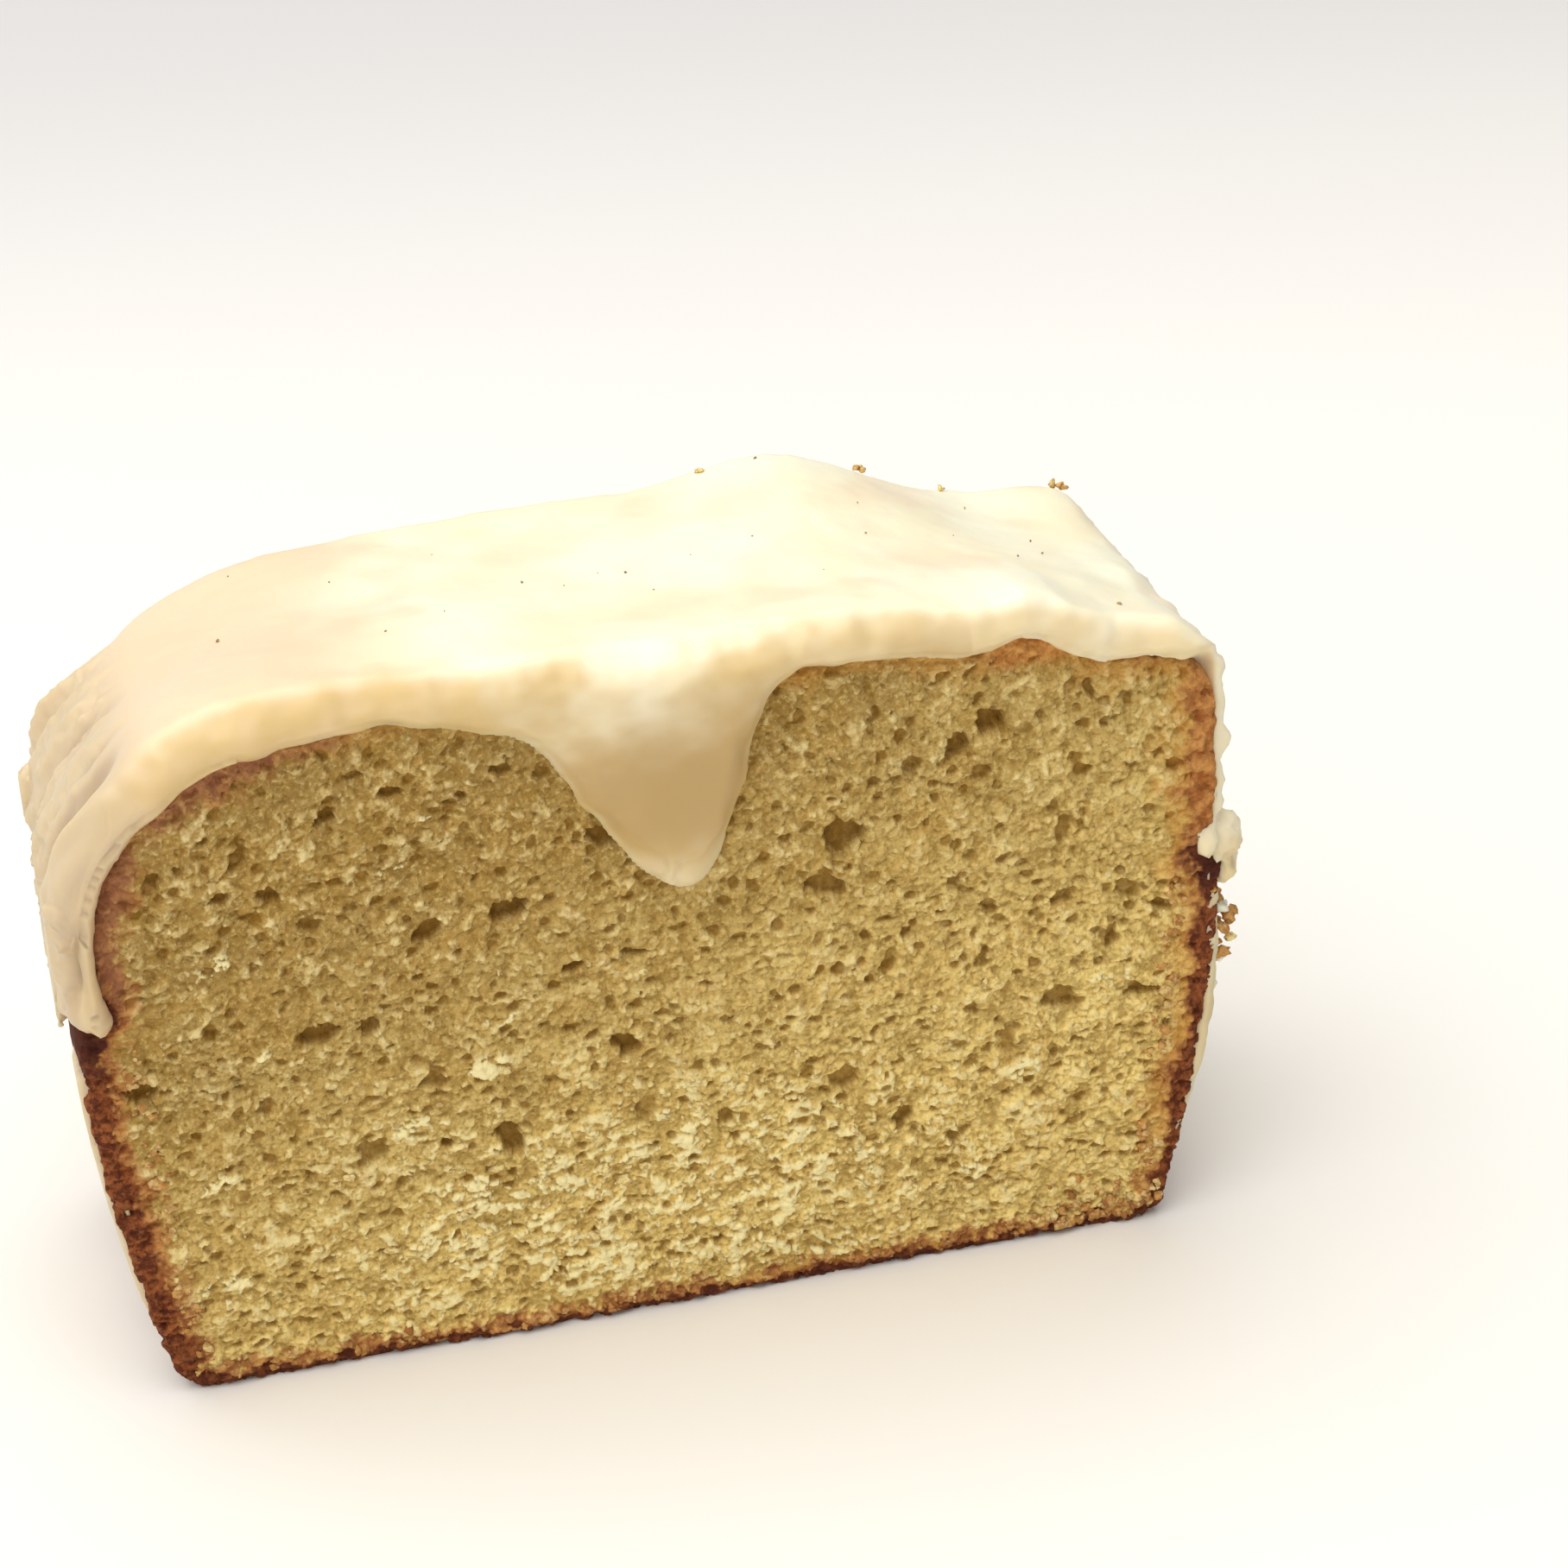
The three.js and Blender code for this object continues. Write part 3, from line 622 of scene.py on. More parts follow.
# Holes are darker olive-brown: partly the crumb's own colour, partly painted shade in them.
crumb = blend(remap(attribute("pore"), 0.1, 1.0, 0, 0.75), crumb, linear("#8e6412"))
crumb = blend(remap(attribute("gold"), 0.0, 1.0, 0, 0.7), crumb, linear("#d0903b"))
crust = blend(remap(speckle(1.3, 4, 0.65), 0.38, 0.68), linear("#8a4a26"), linear("#ce9154"))
crust = blend(remap(attribute("shoulder"), 0.0, 1.0, 0, 0.6), crust, linear("#9a6650"))
crust = blend(remap(attribute("tint"), 0.55, 0.85, 0, 0.45), crust, linear("#d5a05c"))
crumb = blend(remap(attribute("brown"), 0.1, 0.8, 0, 0.9), crumb, crust)
baked = blend(remap(speckle(1.3, 4, 0.65), 0.35, 0.65), linear("#b36c30"), linear("#e2a55c"))
crumb = blend(remap(attribute("amber"), 0.0, 1.0, 0, 0.85), crumb, baked)
dark = blend(remap(speckle(0.9, 3, 0.6), 0.4, 0.65), linear("#5f2c15"), linear("#9c582e"))
dark = blend(remap(attribute("tint"), 0.6, 0.9, 0, 0.5), dark, linear("#a9663a"))
dark = blend(attribute("burnt"), dark, linear("#4e2216"))
crumb = blend(remap(attribute("skin"), 0.1, 0.7), crumb, dark)

grit = add_node(
    tree,
    "ShaderNodeBump",
    {"Height": speckle(0.35, 3, 0.6), "Strength": 1.0, "Distance": 0.2 * MM},
)
shader = add_node(
    tree,
    "ShaderNodeBsdfPrincipled",
    {
        "Base Color": crumb,
        "Roughness": 0.85,
        "Specular IOR Level": 0.25,
        "Normal": grit.outputs[0],
    },
)
add_node(tree, "ShaderNodeOutputMaterial", {"Surface": shader.outputs[0]})
cake.data.materials.append(sponge)


def part_of(whole, name, wanted, filled_back=False):
    """A closed copy of the wanted faces of a mesh, with flat inner sides where they end."""
    piece = bpy.data.objects.new(name, whole.data.copy())
    bpy.context.scene.collection.objects.link(piece)
    select_faces(piece, ~wanted)
    bpy.ops.mesh.delete(type="FACE")
    bpy.context.tool_settings.mesh_select_mode = (False, True, False)
    bpy.ops.mesh.select_all(action="DESELECT")
    bpy.ops.mesh.select_non_manifold()
    bpy.ops.mesh.mark_sharp()
    if filled_back:
        bpy.ops.mesh.extrude_edges_move()
        bpy.ops.object.mode_set(mode="OBJECT")
        drawn = [vertex for vertex in piece.data.vertices if vertex.select]
        depth = max(vertex.co.y for vertex in drawn)
        for vertex in drawn:
            vertex.co.y = depth
        bpy.ops.object.mode_set(mode="EDIT")
        bpy.ops.mesh.select_all(action="SELECT")
        bpy.ops.mesh.remove_doubles(threshold=1e-5)
        bpy.ops.mesh.select_all(action="DESELECT")
        bpy.ops.mesh.select_non_manifold()
        bpy.ops.mesh.mark_sharp()
    bpy.ops.mesh.fill_holes(sides=0)
    bpy.ops.mesh.select_all(action="DESELECT")
    bpy.ops.object.mode_set(mode="OBJECT")
    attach(piece, "root")
    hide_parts("cake")


ahead = centres[:, 1] < PIECE_DEPTH
for number in range(4):
    left, end = PIECE_ENDS[number : number + 2]
    strip = ahead & (centres[:, 0] >= left) & (centres[:, 0] < end)
    part_of(cake, f"cake_front_{number + 1}", strip, filled_back=True)
part_of(cake, "cake_back", ~ahead)
bpy.data.objects.remove(cake)
cut_face = moved[cut][front]

# ---------------------------------------------------------------------------------------
# The icing: sugar icing with vanilla, poured over the whole loaf and set to a soft skin.
# It is thick on top, ran down the walls to the ledge, and sagged over the front cut.
# ---------------------------------------------------------------------------------------

ICING_VOXEL = 0.44  # mm
FATTER = 0.3  # mm, so that it closes on the cake
SLIT = 0.05  # mm kept from the box of the solids
EASE = 0.9  # mm before that box where what swells out is eased back
LIP_LIFT = 1.3  # mm that the lip's right end was drawn up

icing = whole_copy("icing", "icing_coat", ICING_VOXEL)
apply_modifier(icing, "SMOOTH", factor=0.5, iterations=12)
points = read_points(icing.data)

# The right shoulder and the end of the run at the left of the front cut are the roundest.
x, y, z = points.T
shoulder = (x > 40) & (y > 3) & (z > 56)
run_end = (x < -48) & (y < 10) & (z < 47)
rounded = np.flatnonzero(shoulder | run_end).tolist()
icing.vertex_groups.new(name="rounded").add(rounded, 1, "REPLACE")
apply_modifier(icing, "SMOOTH", factor=0.5, iterations=40, vertex_group="rounded")

# It has low waves 11 mm long and ripples of 3.5 mm. From here on swell is in mm.
points = read_points(icing.data)
normals = read_normals(icing.data)
x, y, z = points.T
swell = FATTER + 0.25 * noise_field(points, 11, 2, 3.0) + 0.08 * noise_field(points, 3.5, 2, 7.0)

# It set in upright folds on the left wall, with a hollow behind the rolled front edge, and
# in lumps on the right wall and where its ends stopped at the ledge.
outer = normals[:, 0] * np.sign(x) > -0.2
on_left_wall = smooth_step(-x, 43, 51) * smooth_step(-z, -71, -62) * outer
folds = layers(y / 4.6 + 0.07 * z, z / 19, 60, 3)
valley = np.exp(-(((y - 5.5 - 0.05 * (66 - z)) / 2.0) ** 2)) * smooth_step(z, 53, 60)
swell += on_left_wall * (1.25 * folds - 0.3 - 1.2 * valley)
swell += on_left_wall * smooth_step(y, 4, 12) * 0.3 * noise_field(points, 1.5, 2, 19.0)
on_right_wall = smooth_step(x, 48, 57) * smooth_step(normals[:, 0], 0.1, 0.9)
swell += on_right_wall * (0.5 * noise_field(points, 2.2, 3, 17.0) - 0.15)
near_ledge = (1 - smooth_step(z, 41, 50)) * smooth_step(np.abs(x), 44, 50)
bulging = np.maximum(smooth_step(-x, 54.3, 55.6), smooth_step(x, 56.2, 57.2))
ends = np.maximum(near_ledge, bulging)
swell += ends * np.clip(0.8 * noise_field(points, 1.7, 3, 23.0), -0.1, None)

# Its thin ends are never lowered so far that their faces would cross.
swell = np.maximum(swell, -1.8 + 1.7 * smooth_step(-z, -50, -44))
on_lip = (1 - smooth_step(y, 0.0, 1.5)) * (np.abs(x) < 50)
swell += 0.35 * on_lip * layers(x / 6.0, z / 7.0, 64, 3)

# The roll over the front edge is rounder than it was poured.
upward = np.sqrt(np.clip(1 - normals[:, 1] ** 2, 0, 1))
swell -= 0.8 * np.clip(-normals[:, 1], 0, 1) * upward * (y < CUT_REACH) * outer

# Low swellings and hollows where it ran together: place on the slice, reach and height in mm.
SWELLINGS = [
    (-34.0, 1.0, 69.5, 4.5, 0.5), (-27.0, -0.9, 69.0, 1.5, 0.6), (-40.5, 5.0, 67.5, 4.0, 0.5),
    (-12.0, 8.0, 72.5, 6.0, 0.3), (12.0, 12.0, 74.0, 7.0, -0.35), (30.0, 6.0, 72.5, 6.0, 0.3),
    (44.0, 9.0, 70.0, 4.0, 0.4), (-22.0, 20.0, 71.0, 7.0, -0.3), (50.0, 14.0, 66.5, 3.0, 0.5),
    (55.6, 1.0, 54.6, 1.9, 1.3), (55.4, 1.0, 50.2, 1.4, 0.9), (55.4, 1.2, 47.6, 1.2, 0.7),
    (54.6, 4.5, 65.6, 1.7, 1.3), (53.4, 8.5, 67.2, 1.6, 0.8), (54.8, 2.0, 62.0, 1.3, 0.6),
    (2.4, -2.0, 50.0, 3.6, 0.55), (-0.8, -1.5, 51.5, 2.4, 0.45), (5.6, -1.5, 52.0, 2.4, 0.35),
    (-52.8, 0.5, 42.6, 2.6, 0.7), (-54.6, 1.5, 43.5, 2.2, 1.1), (-55.0, 3.5, 44.5, 2.0, 0.6),
    (-54.0, -1.0, 45.0, 2.4, 0.9), (-55.4, -0.6, 49.0, 2.0, -0.9), (-56.6, 0.4, 45.6, 1.3, 0.8),
]
for px, py, pz, reach, lift in SWELLINGS:
    away = ((x - px) ** 2 + (y - py) ** 2 + (z - pz) ** 2) / reach**2
    swell += lift * np.exp(-1.5 * away)

moved = points + normals * swell[:, None]

# On the right the knife drew it back 0.5 to 1.7 mm behind the front cut, and the lip's end up.
drawn_back = smooth_step(x, 50, 52.5) * (1 - smooth_step(z, 61, 66)) * smooth_step(z, 43, 47)
limit = 1.7 - 1.2 * smooth_step(moved[:, 0], 53.4, 54.8)
moved[:, 1] += drawn_back * np.clip(limit - moved[:, 1], 0, None)
drawn_up = smooth_step(x, 42, 48) * smooth_step(z, 54, 60) * (1 - smooth_step(z, 62, 68))
moved[:, 2] += LIP_LIFT * drawn_up * (1 - smooth_step(y, 0.3, 1.5))

# Nothing leaves the box of the solids.
low_corner = (np.array(cad_box[0][:]) - (MIDDLE, FRONT, 0)) / MM + SLIT
high_corner = (np.array(cad_box[1][:]) - (MIDDLE, FRONT, 0)) / MM - SLIT
room = np.clip(np.abs(moved[:, 0]) - (high_corner[0] - EASE), 0, None)
moved[:, 0] -= np.sign(moved[:, 0]) * (room - EASE * (1 - np.exp(-room / EASE)))
moved = np.clip(moved, low_corner, high_corner)
write_points(icing.data, moved)

# Where it hangs thin over the front cut it looks yellower, and on what faces forward or down, and on the
# lip's left part, it is painted in shade; so this number is partly the thin icing's colour and partly
# painted shade.
patchy = layers(x / 8.0, z / 5.0, 67, 4)
leftward = smooth_step(-x, 12, 24)
at_cut = y < CUT_REACH
hanging_thin_and_shaded = np.maximum(
    smooth_step(-normals[:, 1] + 0.18 * patchy + 0.22 * leftward, 0.0, 0.9) * at_cut,
    smooth_step(-normals[:, 2], -0.3, 0.3) * (y < 2.5) * (np.abs(x) < 46),
)
rolled = np.exp(-np.clip(y + 0.6, 0, None) / 1.6) * (z > 45) * (0.35 + 0.5 * patchy)
hanging_thin_and_shaded = np.maximum(hanging_thin_and_shaded * (0.85 + 0.3 * patchy), rolled)
hanging_thin_and_shaded *= 1 - 0.35 * np.exp(-(((x + 1) / 11) ** 2)) * smooth_step(z, 60, 69)
lip = 66 - 0.11 * np.clip(-x, 0, None) ** 1.35 * (x < 0)
hanging_thin_and_shaded *= 1 - 0.6 * smooth_step(-x, 43, 50) - 0.42 * smooth_step(x, 8, 22)
in_middle = np.abs(x) < 30
hanging_thin_and_shaded *= 1 - 0.6 * smooth_step(lip - z, 8, 17) * in_middle
store(icing.data, "hanging_thin_and_shaded", hanging_thin_and_shaded)

# The drip is painted darker where it faces forward, partly thin icing over the crumb and partly painted
# shade; it is darkest below the lip and lighter again at its thick tip.
in_drip = smooth_step(lip - z + 1.5 * patchy, -10, 6) - 0.9 * smooth_step(lip - z, 7, 17)
fronting = smooth_step(-normals[:, 1], 0.05, 0.95) * at_cut
store(icing.data, "drip_thin_and_shaded", fronting * in_drip * in_middle)

# The walls are painted in shade, darker than the top, and the folds and the valley on the left wall get
# deeper painted shade; along the left edge the thin icing shows the crust's brown.
store(icing.data, "wall", np.maximum(smooth_step(-x, 42, 52), 0.4 * smooth_step(x, 50, 54)))
hollow_shade_and_thin = on_left_wall * (smooth_step(-folds, -0.1, 0.7) + valley)
hollow_shade_and_thin += 0.8 * smooth_step(normals[:, 0], -0.3, 0.6) * smooth_step(-x, 38, 46) * (y < 1.5)
store(icing.data, "hollow_shade_and_thin", hollow_shade_and_thin)
rosy = smooth_step(noise_field(points, 11, 2, 71.0), 0.0, 0.7)
store(icing.data, "through", 0.5 * rosy + smooth_step(-x, 14, 36))

# Set sugar icing: ivory and slightly translucent, with a soft sheen. Where it hangs over the crumb it is
# thin and looks yellower, with painted shade on what faces forward or down, and rosy patches show the
# crust under it. The walls are painted in shade, more so in the folds.
glaze, tree = new_material("sugar_icing")
place = add_node(tree, "ShaderNodeTexCoord").outputs["Object"]
cream = blend(remap(speckle(14.0, 2), 0.35, 0.65), linear("#fcf4da"), linear("#f8eccb"))
cream = blend(remap(attribute("through"), 0.0, 1.0, 0, 0.8), cream, linear("#efd3b0"))
# Painted shade: the walls, folds and drip are darkened, and the thin hanging icing is yellower, partly
# painted shade.
cream = blend(remap(attribute("wall"), 0.0, 1.0, 0, 0.8), cream, linear("#d3bf9c"))
cream = blend(remap(attribute("hollow_shade_and_thin"), 0.0, 1.0, 0, 0.5), cream, linear("#b79c82"))
cream = blend(remap(attribute("hanging_thin_and_shaded"), 0.0, 1.0, 0, 0.95), cream, linear("#dcc084"))
cream = blend(remap(attribute("drip_thin_and_shaded"), 0.0, 1.0, 0, 0.85), cream, linear("#bf9f66"))
ripple = add_node(
    tree,
    "ShaderNodeBump",
    {"Height": speckle(2.2, 3), "Strength": 0.35, "Distance": 0.12 * MM},
)
shader = add_node(
    tree,
    "ShaderNodeBsdfPrincipled",
    {
        "Base Color": cream,
        "Roughness": 0.4,
        "Specular IOR Level": 0.4,
        "Subsurface Weight": 0.5,
        "Subsurface Radius": (1.0, 0.75, 0.4),
        "Subsurface Scale": 2.0 * MM,
        "Normal": ripple.outputs[0],
    },
)
add_node(tree, "ShaderNodeOutputMaterial", {"Surface": shader.outputs[0]})
icing.data.materials.append(glaze)
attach(icing, "root")
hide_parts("icing")

# ---------------------------------------------------------------------------------------
# The icing's thin film on both lower walls, which ran on below the ledge and tore with the
# tin's paper. It is a ragged skin some tenths of a millimetre thick, open in patches.
# ---------------------------------------------------------------------------------------

FILM_STEP = 0.4  # mm from one row of its points to the next
FILM_ROOT = 1.3  # mm that its back lies inside the crust
FILM_TORN = -0.5  # mm, where its face lies in the patches that tore off
FILM_START = 0.45  # mm from the front cut to its first points


def film(name, side, bias, wall_shade, to_cut, seed):
    """A closed skin on one wall, below the crust's face where the film is torn away.

    The side is -1 or 1, bias makes it whole, the number after bias is how much painted wall shade it gets,
    and to_cut how much of it reaches the front cut, in mm.
    """
    rows = np.arange(0.5, LEDGE - 0.6, FILM_STEP)
    columns = np.arange(FILM_START, DEPTH - 1.0, FILM_STEP)
    wall = np.empty((len(rows), len(columns)))
    for i, high in enumerate(rows):
        for j, deep in enumerate(columns):
            start = Vector((side * 70, deep, high)) * MM + Vector((MIDDLE, FRONT, 0))
            wall[i, j] = (outside.ray_cast(start, Vector((-side, 0, 0)))[0].x - MIDDLE) / MM
    deep, high = np.meshgrid(columns, rows)
    deep, high = deep.ravel(), high.ravel()
    patches = layers(deep / 4.5, high / 10, seed, 4) + 0.4 * waves(deep / 1.1, high / 1.6, seed + 9)
    ends = np.minimum(smooth_step(high, 1, 12), 1 - 0.4 * smooth_step(high, LEDGE - 8, LEDGE))
    strip = to_cut * np.exp(-(((high - 25) / 9) ** 2))
    thick = 0.3 * patches + bias * ends + 0.45 * np.exp(-((deep - 2.5) ** 2) / 6) * ends - 0.3
    thick += 0.4 * strip * np.exp(-deep / 1.3) * (1 + 0.6 * waves(high / 1.3, deep / 3, seed + 8))
    reach = 0.6 + strip
    inland = np.minimum(deep + reach, DEPTH - deep) + 0.6 * waves(high / 1.6, deep / 3, seed + 5)
    below = 0.45 * (LEDGE - high) + 0.8 * layers(deep / 2.4, high / 5, seed + 6, 2)
    inland = smooth_step(inland, 1.0, 2.2) * smooth_step(below, 0.4, 1.4)

    # Beside the cuts it lies deeper than the chips in the crust.
    sunk = 0.7 * np.exp(-np.minimum(deep, DEPTH - deep) / 1.5) - FILM_TORN
    thick = np.clip(thick, FILM_TORN, 0.5 + 0.4 * strip) * inland - sunk * (1 - inland)
    root = FILM_ROOT - 0.55 * strip * (1 - smooth_step(deep, 0.5, 4))
    outer = np.stack((wall.ravel() + side * thick, deep, high), 1)
    inner = np.stack((wall.ravel() - side * root, deep, high), 1)
    tall, wide = wall.shape
    grid = np.arange(tall * wide).reshape(tall, wide)
    quads = np.stack((grid[:-1, :-1], grid[:-1, 1:], grid[1:, 1:], grid[1:, :-1]), -1).reshape(-1, 4)
    back = quads[:, ::-1] + tall * wide
    ring = np.concatenate((grid[0, :-1], grid[:-1, -1], grid[-1, :0:-1], grid[:0:-1, 0]))
    following = np.roll(ring, -1)
    rim_quads = np.stack((ring + tall * wide, following + tall * wide, following, ring), 1)
    faces = np.concatenate((quads, back, rim_quads))
    if side < 0:
        faces = faces[:, ::-1]
    mesh = bpy.data.meshes.new(name)
    places = np.concatenate((outer, inner)) * MM + (MIDDLE, FRONT, 0)
    mesh.from_pydata(places.tolist(), [], faces.tolist())
    mesh.shade_smooth()
    # Painted shade from the wall number; yellower near the front cut; and where it is thin the crust's
    # brown shows through.
    store(mesh, "wall", np.full(len(places), wall_shade))
    store(mesh, "hanging_thin_and_shaded", np.tile(0.7 * np.exp(-deep / 1.2), 2))
    store(mesh, "hollow_shade_and_thin", np.tile(0.9 - smooth_step(thick, 0.0, 0.3), 2))
    store(mesh, "through", np.tile(0.5 + 0.6 * layers(deep / 5, high / 8, seed + 11, 3), 2))
    mesh.materials.append(glaze)
    piece = bpy.data.objects.new(name, mesh)
    bpy.context.scene.collection.objects.link(piece)
    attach(piece, "root")
    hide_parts("icing")


film("icing_film_left", -1, 0.45, 1.0, 0, 80)
film("icing_film_right", 1, 0.5, 0.3, 1.7, 90)

# ---------------------------------------------------------------------------------------
# Loose bits that cling to the slice: crumbs torn by the knife, toasted bits of crust, scraps
# of set icing, and flecks of vanilla seed. Each kind is one mesh of small uneven lumps.
# ---------------------------------------------------------------------------------------

bpy.ops.object.select_all(action="DESELECT")
bpy.ops.mesh.primitive_ico_sphere_add(subdivisions=2, radius=1)
ball = bpy.context.object
ball_points = np.array([vertex.co[:] for vertex in ball.data.vertices])
ball_faces = np.array([face.vertices[:] for face in ball.data.polygons])
bpy.data.objects.remove(ball)


def lumps(name, spots, uneven, material, node):
    """One mesh of uneven lumps, each given by its centre, three half sizes and a tone."""
    places, faces, tones = [], [], []
    for number, (centre, sizes, tone) in enumerate(spots):
        move = Vector((number * 3.7, number * 1.3, 0))
        swell = np.array([noise.fractal(Vector(p) * 1.1 + move, 0.8, 2.2, 3) for p in ball_points])
        turn = Matrix.Rotation(seeded.uniform(0, 6.28), 3, Vector((0.3, 1, 0.2)).normalized())
        body = ball_points * (1 + uneven * swell[:, None]) * sizes
        places.append(body @ np.array(turn).T + centre)
        faces.append(ball_faces + number * len(ball_points))
        tones.append(np.full(len(ball_points), tone))
    mesh = bpy.data.meshes.new(name)
    everything = np.clip(np.concatenate(places), low_corner, high_corner)
    everything = everything * MM + (MIDDLE, FRONT, 0)
    mesh.from_pydata(everything.tolist(), [], np.concatenate(faces).tolist())
    mesh.shade_smooth()
    store(mesh, "tone", np.concatenate(tones))
    # The tone is also kept as the wall number, which is painted shade for the icing scraps.
    store(mesh, "wall", np.concatenate(tones))
    mesh.materials.append(material)
    piece = bpy.data.objects.new(name, mesh)
    bpy.context.scene.collection.objects.link(piece)
    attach(piece, "root")
    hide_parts(node)


def on_front(px, pz):
    """A point on the front cut."""
    return cut_face[np.argmin((cut_face[:, 0] - px) ** 2 + (cut_face[:, 2] - pz) ** 2)]


# Toasted crumbs: dry and matt, pale straw from the crumb and orange-brown from the crust. Real
# specks on them are 0.1 to 0.3 mm across, and are drawn at 0.3 to 0.7 mm so that they show.
toasted, tree = new_material("toasted_crumb")
place = add_node(tree, "ShaderNodeTexCoord").outputs["Object"]
tone = attribute("tone")
colour = blend(remap(tone, 0.0, 0.5), linear("#f2df9c"), linear("#cf9c58"))
colour = blend(remap(tone, 0.5, 1.0), colour, linear("#8f5128"))
colour = blend(remap(speckle(0.5, 3, 0.6), 0.45, 0.6, 0, 0.6), colour, linear("#a87338"))
colour = blend(remap(speckle(0.7, 3, 0.6), 0.52, 0.66, 0, 0.5), colour, linear("#efd79a"))
grit = add_node(
    tree,
    "ShaderNodeBump",
    {"Height": speckle(0.3, 3, 0.6), "Strength": 0.7, "Distance": 0.15 * MM},
)
shader = add_node(
    tree,
    "ShaderNodeBsdfPrincipled",
    {
        "Base Color": colour,
        "Roughness": 0.85,
        "Specular IOR Level": 0.25,
        "Normal": grit.outputs[0],
    },
)
add_node(tree, "ShaderNodeOutputMaterial", {"Surface": shader.outputs[0]})

spots = []
for number in range(150):
    px, pz = seeded.gauss(-4, 22), abs(seeded.gauss(0, 13)) + 5
    if abs(px) < 46:
        size = 0.2 + 0.35 * seeded.random() ** 2
        centre = on_front(px, pz) - (0, 0.1 * size, 0)
        spots.append((centre, (1.5 * size, 0.6 * size, 0.8 * size), 0.1 * seeded.random()))
for number in range(150):
    side = seeded.choice((-1, 1))
    pz = seeded.uniform(2, 40)
    px = side * (48.0 + 3.4 * pz / LEDGE + seeded.uniform(-1.5, 0.8))
    size = 0.22 + 0.36 * seeded.random() ** 2
    centre = on_front(px, pz)
    spots.append((centre, (size, 0.7 * size, size), seeded.uniform(0.15, 0.75)))
for number in range(90):
    px = seeded.uniform(-48, 48)
    size = 0.2 + 0.3 * seeded.random() ** 2
    centre = on_front(px, 1.0 + 1.8 * seeded.random())
    spots.append((centre, (1.2 * size, 0.7 * size, size), seeded.uniform(0.4, 0.9)))

# The right foot broke into coarser golden crumbs.
for number in range(80):
    px, pz = seeded.uniform(38, 50), 1 + 6 * seeded.random() ** 2
    size = 0.2 + 0.35 * seeded.random() ** 2
    spots.append((on_front(px, pz), (size, 0.7 * size, 0.9 * size), seeded.uniform(0.05, 0.85)))

# A torn bit of crust hangs on the right wall, below the icing's end.
for number in range(34):
    high = seeded.gauss(32.5, 2.4)
    centre = (
        55.0 + 2.6 * seeded.random() * math.exp(-(((high - 33) / 3.5) ** 2)),
        seeded.uniform(0.8, 4.0),
        high,
    )
    size = 0.3 + 0.6 * seeded.random() ** 1.5
    brownness = seeded.choice((0.0, 0.45, 0.55, 0.6, 0.65))
    spots.append((centre, (size, 0.8 * size, 0.8 * size), brownness))


def on_top(px, py):
    """Height of the icing's top surface."""
    near_by = np.hypot(moved[:, 0] - px, moved[:, 1] - py) < 0.7
    return moved[near_by, 2].max()


# Toasted bits stand up along the top edge of the back cut, where the knife came through:
# place, size in mm and brownness.
TOASTED_BITS = [(13.4, 0.28, 0.1), (29.5, 0.36, 0.3), (38.3, 0.24, 0.1), (50.5, 0.5, 0.35)]
for px, size, brownness in TOASTED_BITS:
    for number in range(4):
        part = size * seeded.uniform(0.6, 1.1)
        across = px + 1.6 * size * seeded.uniform(-1, 1)
        deep = DEPTH - 0.5 - seeded.uniform(0, 0.8)
        centre = (across, deep, on_top(across, deep - 0.5) + 0.2 * part)
        toast = brownness * seeded.uniform(0.7, 1.2)
        spots.append((centre, (part, 0.7 * part, 0.8 * part), toast))
lumps("crumbs_on_cuts", spots, 0.85, toasted, "cake")

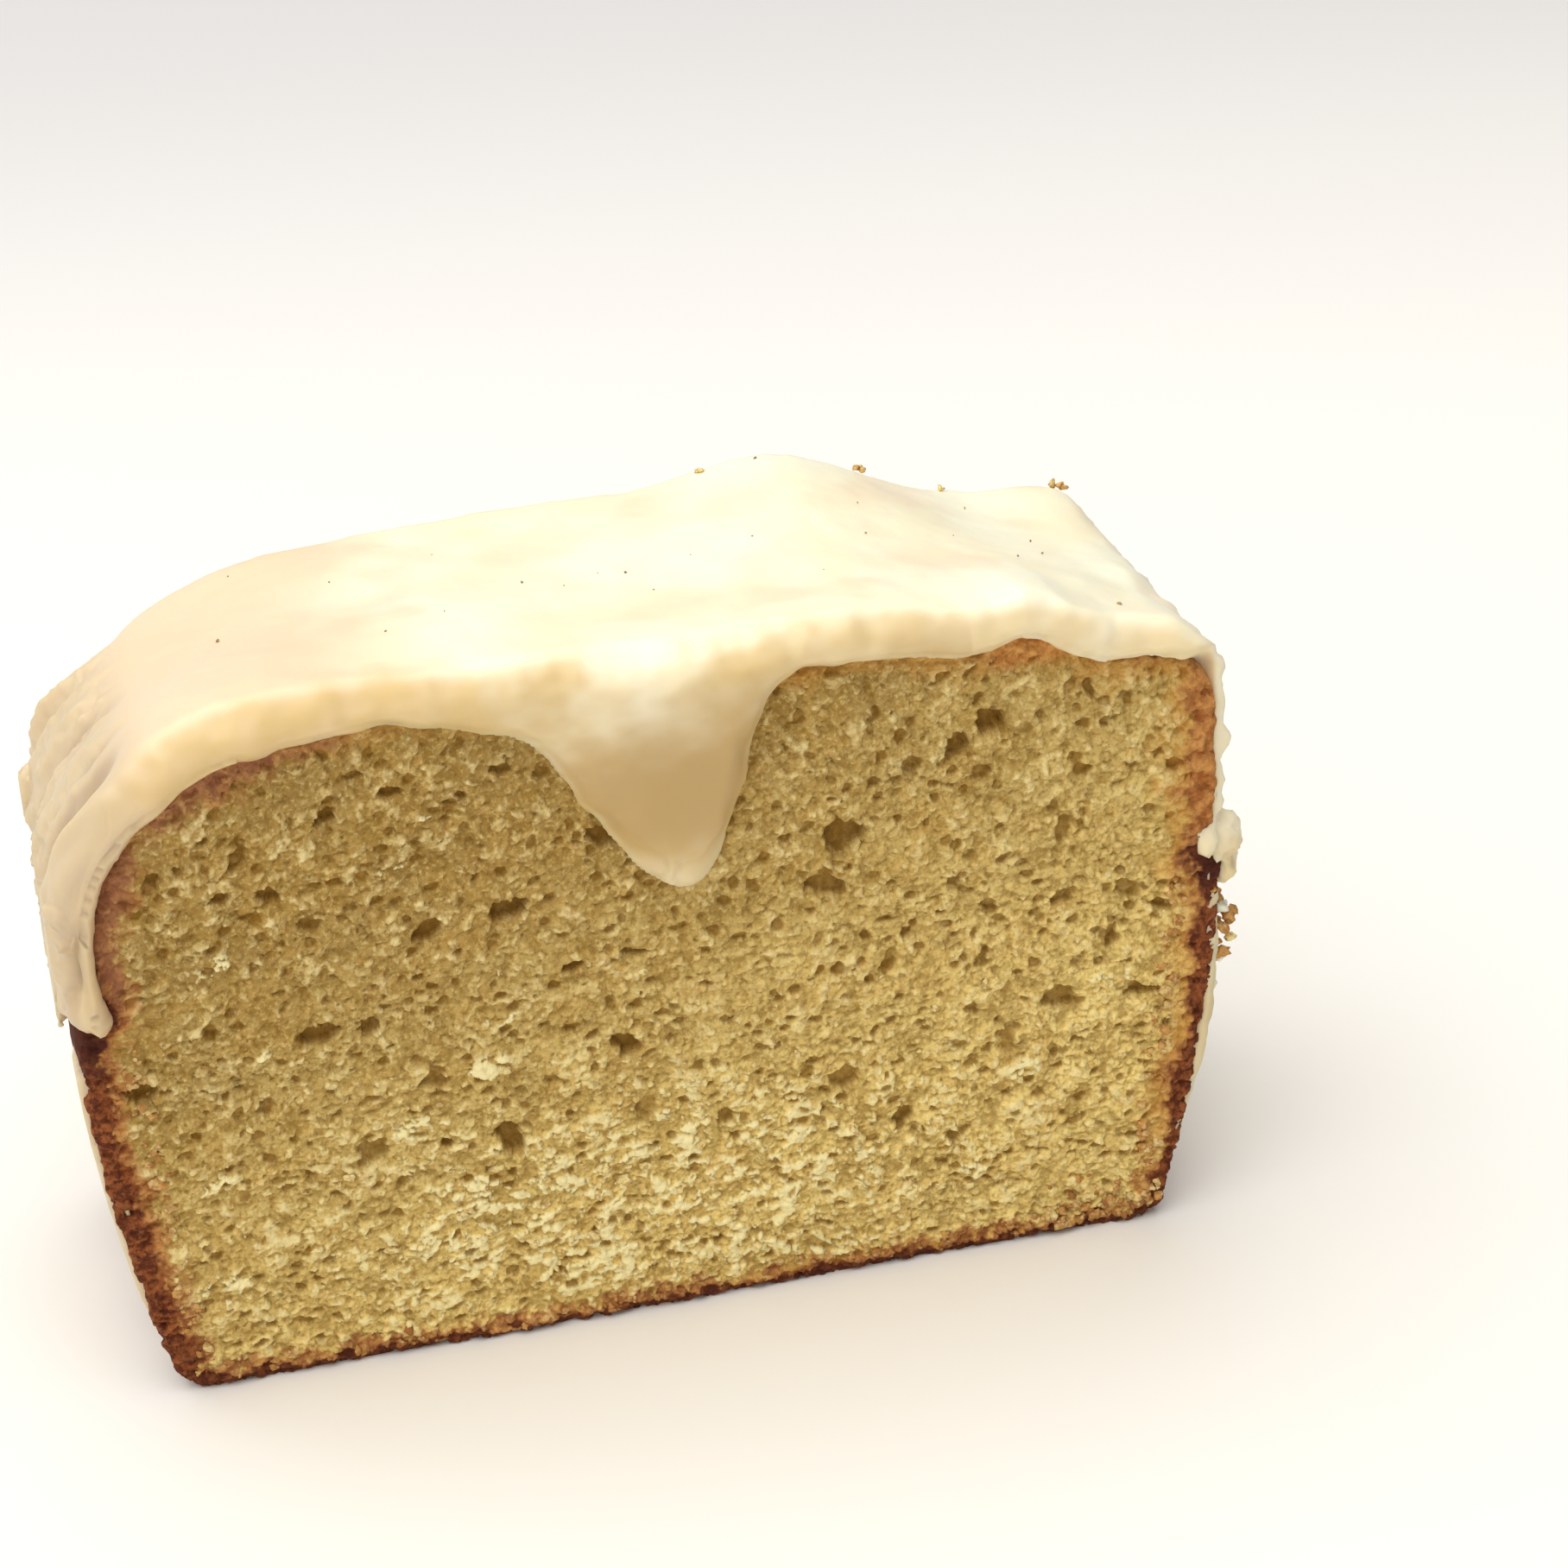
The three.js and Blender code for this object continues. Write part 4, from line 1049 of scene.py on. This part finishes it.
# Scraps of set icing cling below the ends of the runs: place, spread, size, count and how much painted
# wall shade each gets.
SCRAPS = [
    (56.0, 2.0, 35.0, 0.9, 0.7, 4, 0.2), (55.6, 2.0, 30.5, 1.2, 0.5, 6, 0.2),
    (55.3, 2.0, 26.6, 0.8, 0.5, 4, 0.2), (-55.0, 9.0, 43.0, 1.0, 0.6, 5, 0.6),
]
spots = []
for px, py, pz, spread, size, count, scrap_wall_shade in SCRAPS:
    for number in range(count):
        centre = (
            px + seeded.uniform(-0.5, 0.5) * spread,
            py + seeded.uniform(-1, 1) * spread,
            pz + seeded.uniform(-1, 1) * spread,
        )
        part = size * seeded.uniform(0.6, 1.1)
        spots.append((centre, (part, 0.7 * part, 0.9 * part), scrap_wall_shade))

# Frayed flakes stand out low on the left wall, where the paper was drawn off; they get the full painted
# wall shade.
left_wall = moved[(moved[:, 0] < -53) & (moved[:, 1] > 6) & (moved[:, 2] < 47)]
for number in range(50):
    size = 0.15 + 0.3 * seeded.random() ** 2
    centre = left_wall[seeded.randrange(len(left_wall))]
    spots.append((centre, (size, 0.5 * size, 1.3 * size), 1))
lumps("icing_scraps", spots, 0.5, glaze, "icing")

# Vanilla seeds set just under the icing's skin: tiny, dark, and greyed by what covers them.
# Five large flecks are placed one by one, in mm, and small ones strewn.
LARGE_FLECKS = [(-8.2, 18.4), (1.4, 16.6), (19.0, 36.8), (46.0, 4.0), (-37.0, 19.5)]
seed_case, tree = new_material("vanilla_seed")
place = add_node(tree, "ShaderNodeTexCoord").outputs["Object"]
shader = add_node(
    tree,
    "ShaderNodeBsdfPrincipled",
    {
        "Base Color": blend(remap(speckle(0.4), 0.4, 0.6), linear("#7d6446"), linear("#a68b66")),
        "Roughness": 0.5,
    },
)
add_node(tree, "ShaderNodeOutputMaterial", {"Surface": shader.outputs[0]})
spots = []
for px, py in LARGE_FLECKS:
    spots.append(((px, py, on_top(px, py) - 0.05), (0.24, 0.18, 0.12), 0))
for number in range(18):
    px, py = seeded.uniform(-40, 46), seeded.uniform(3, 35)
    size = seeded.uniform(0.08, 0.15)
    spots.append(((px, py, on_top(px, py) - 0.03), (size, 0.8 * size, 0.6 * size), 0))
lumps("vanilla_seeds", spots, 0.3, seed_case, "icing")
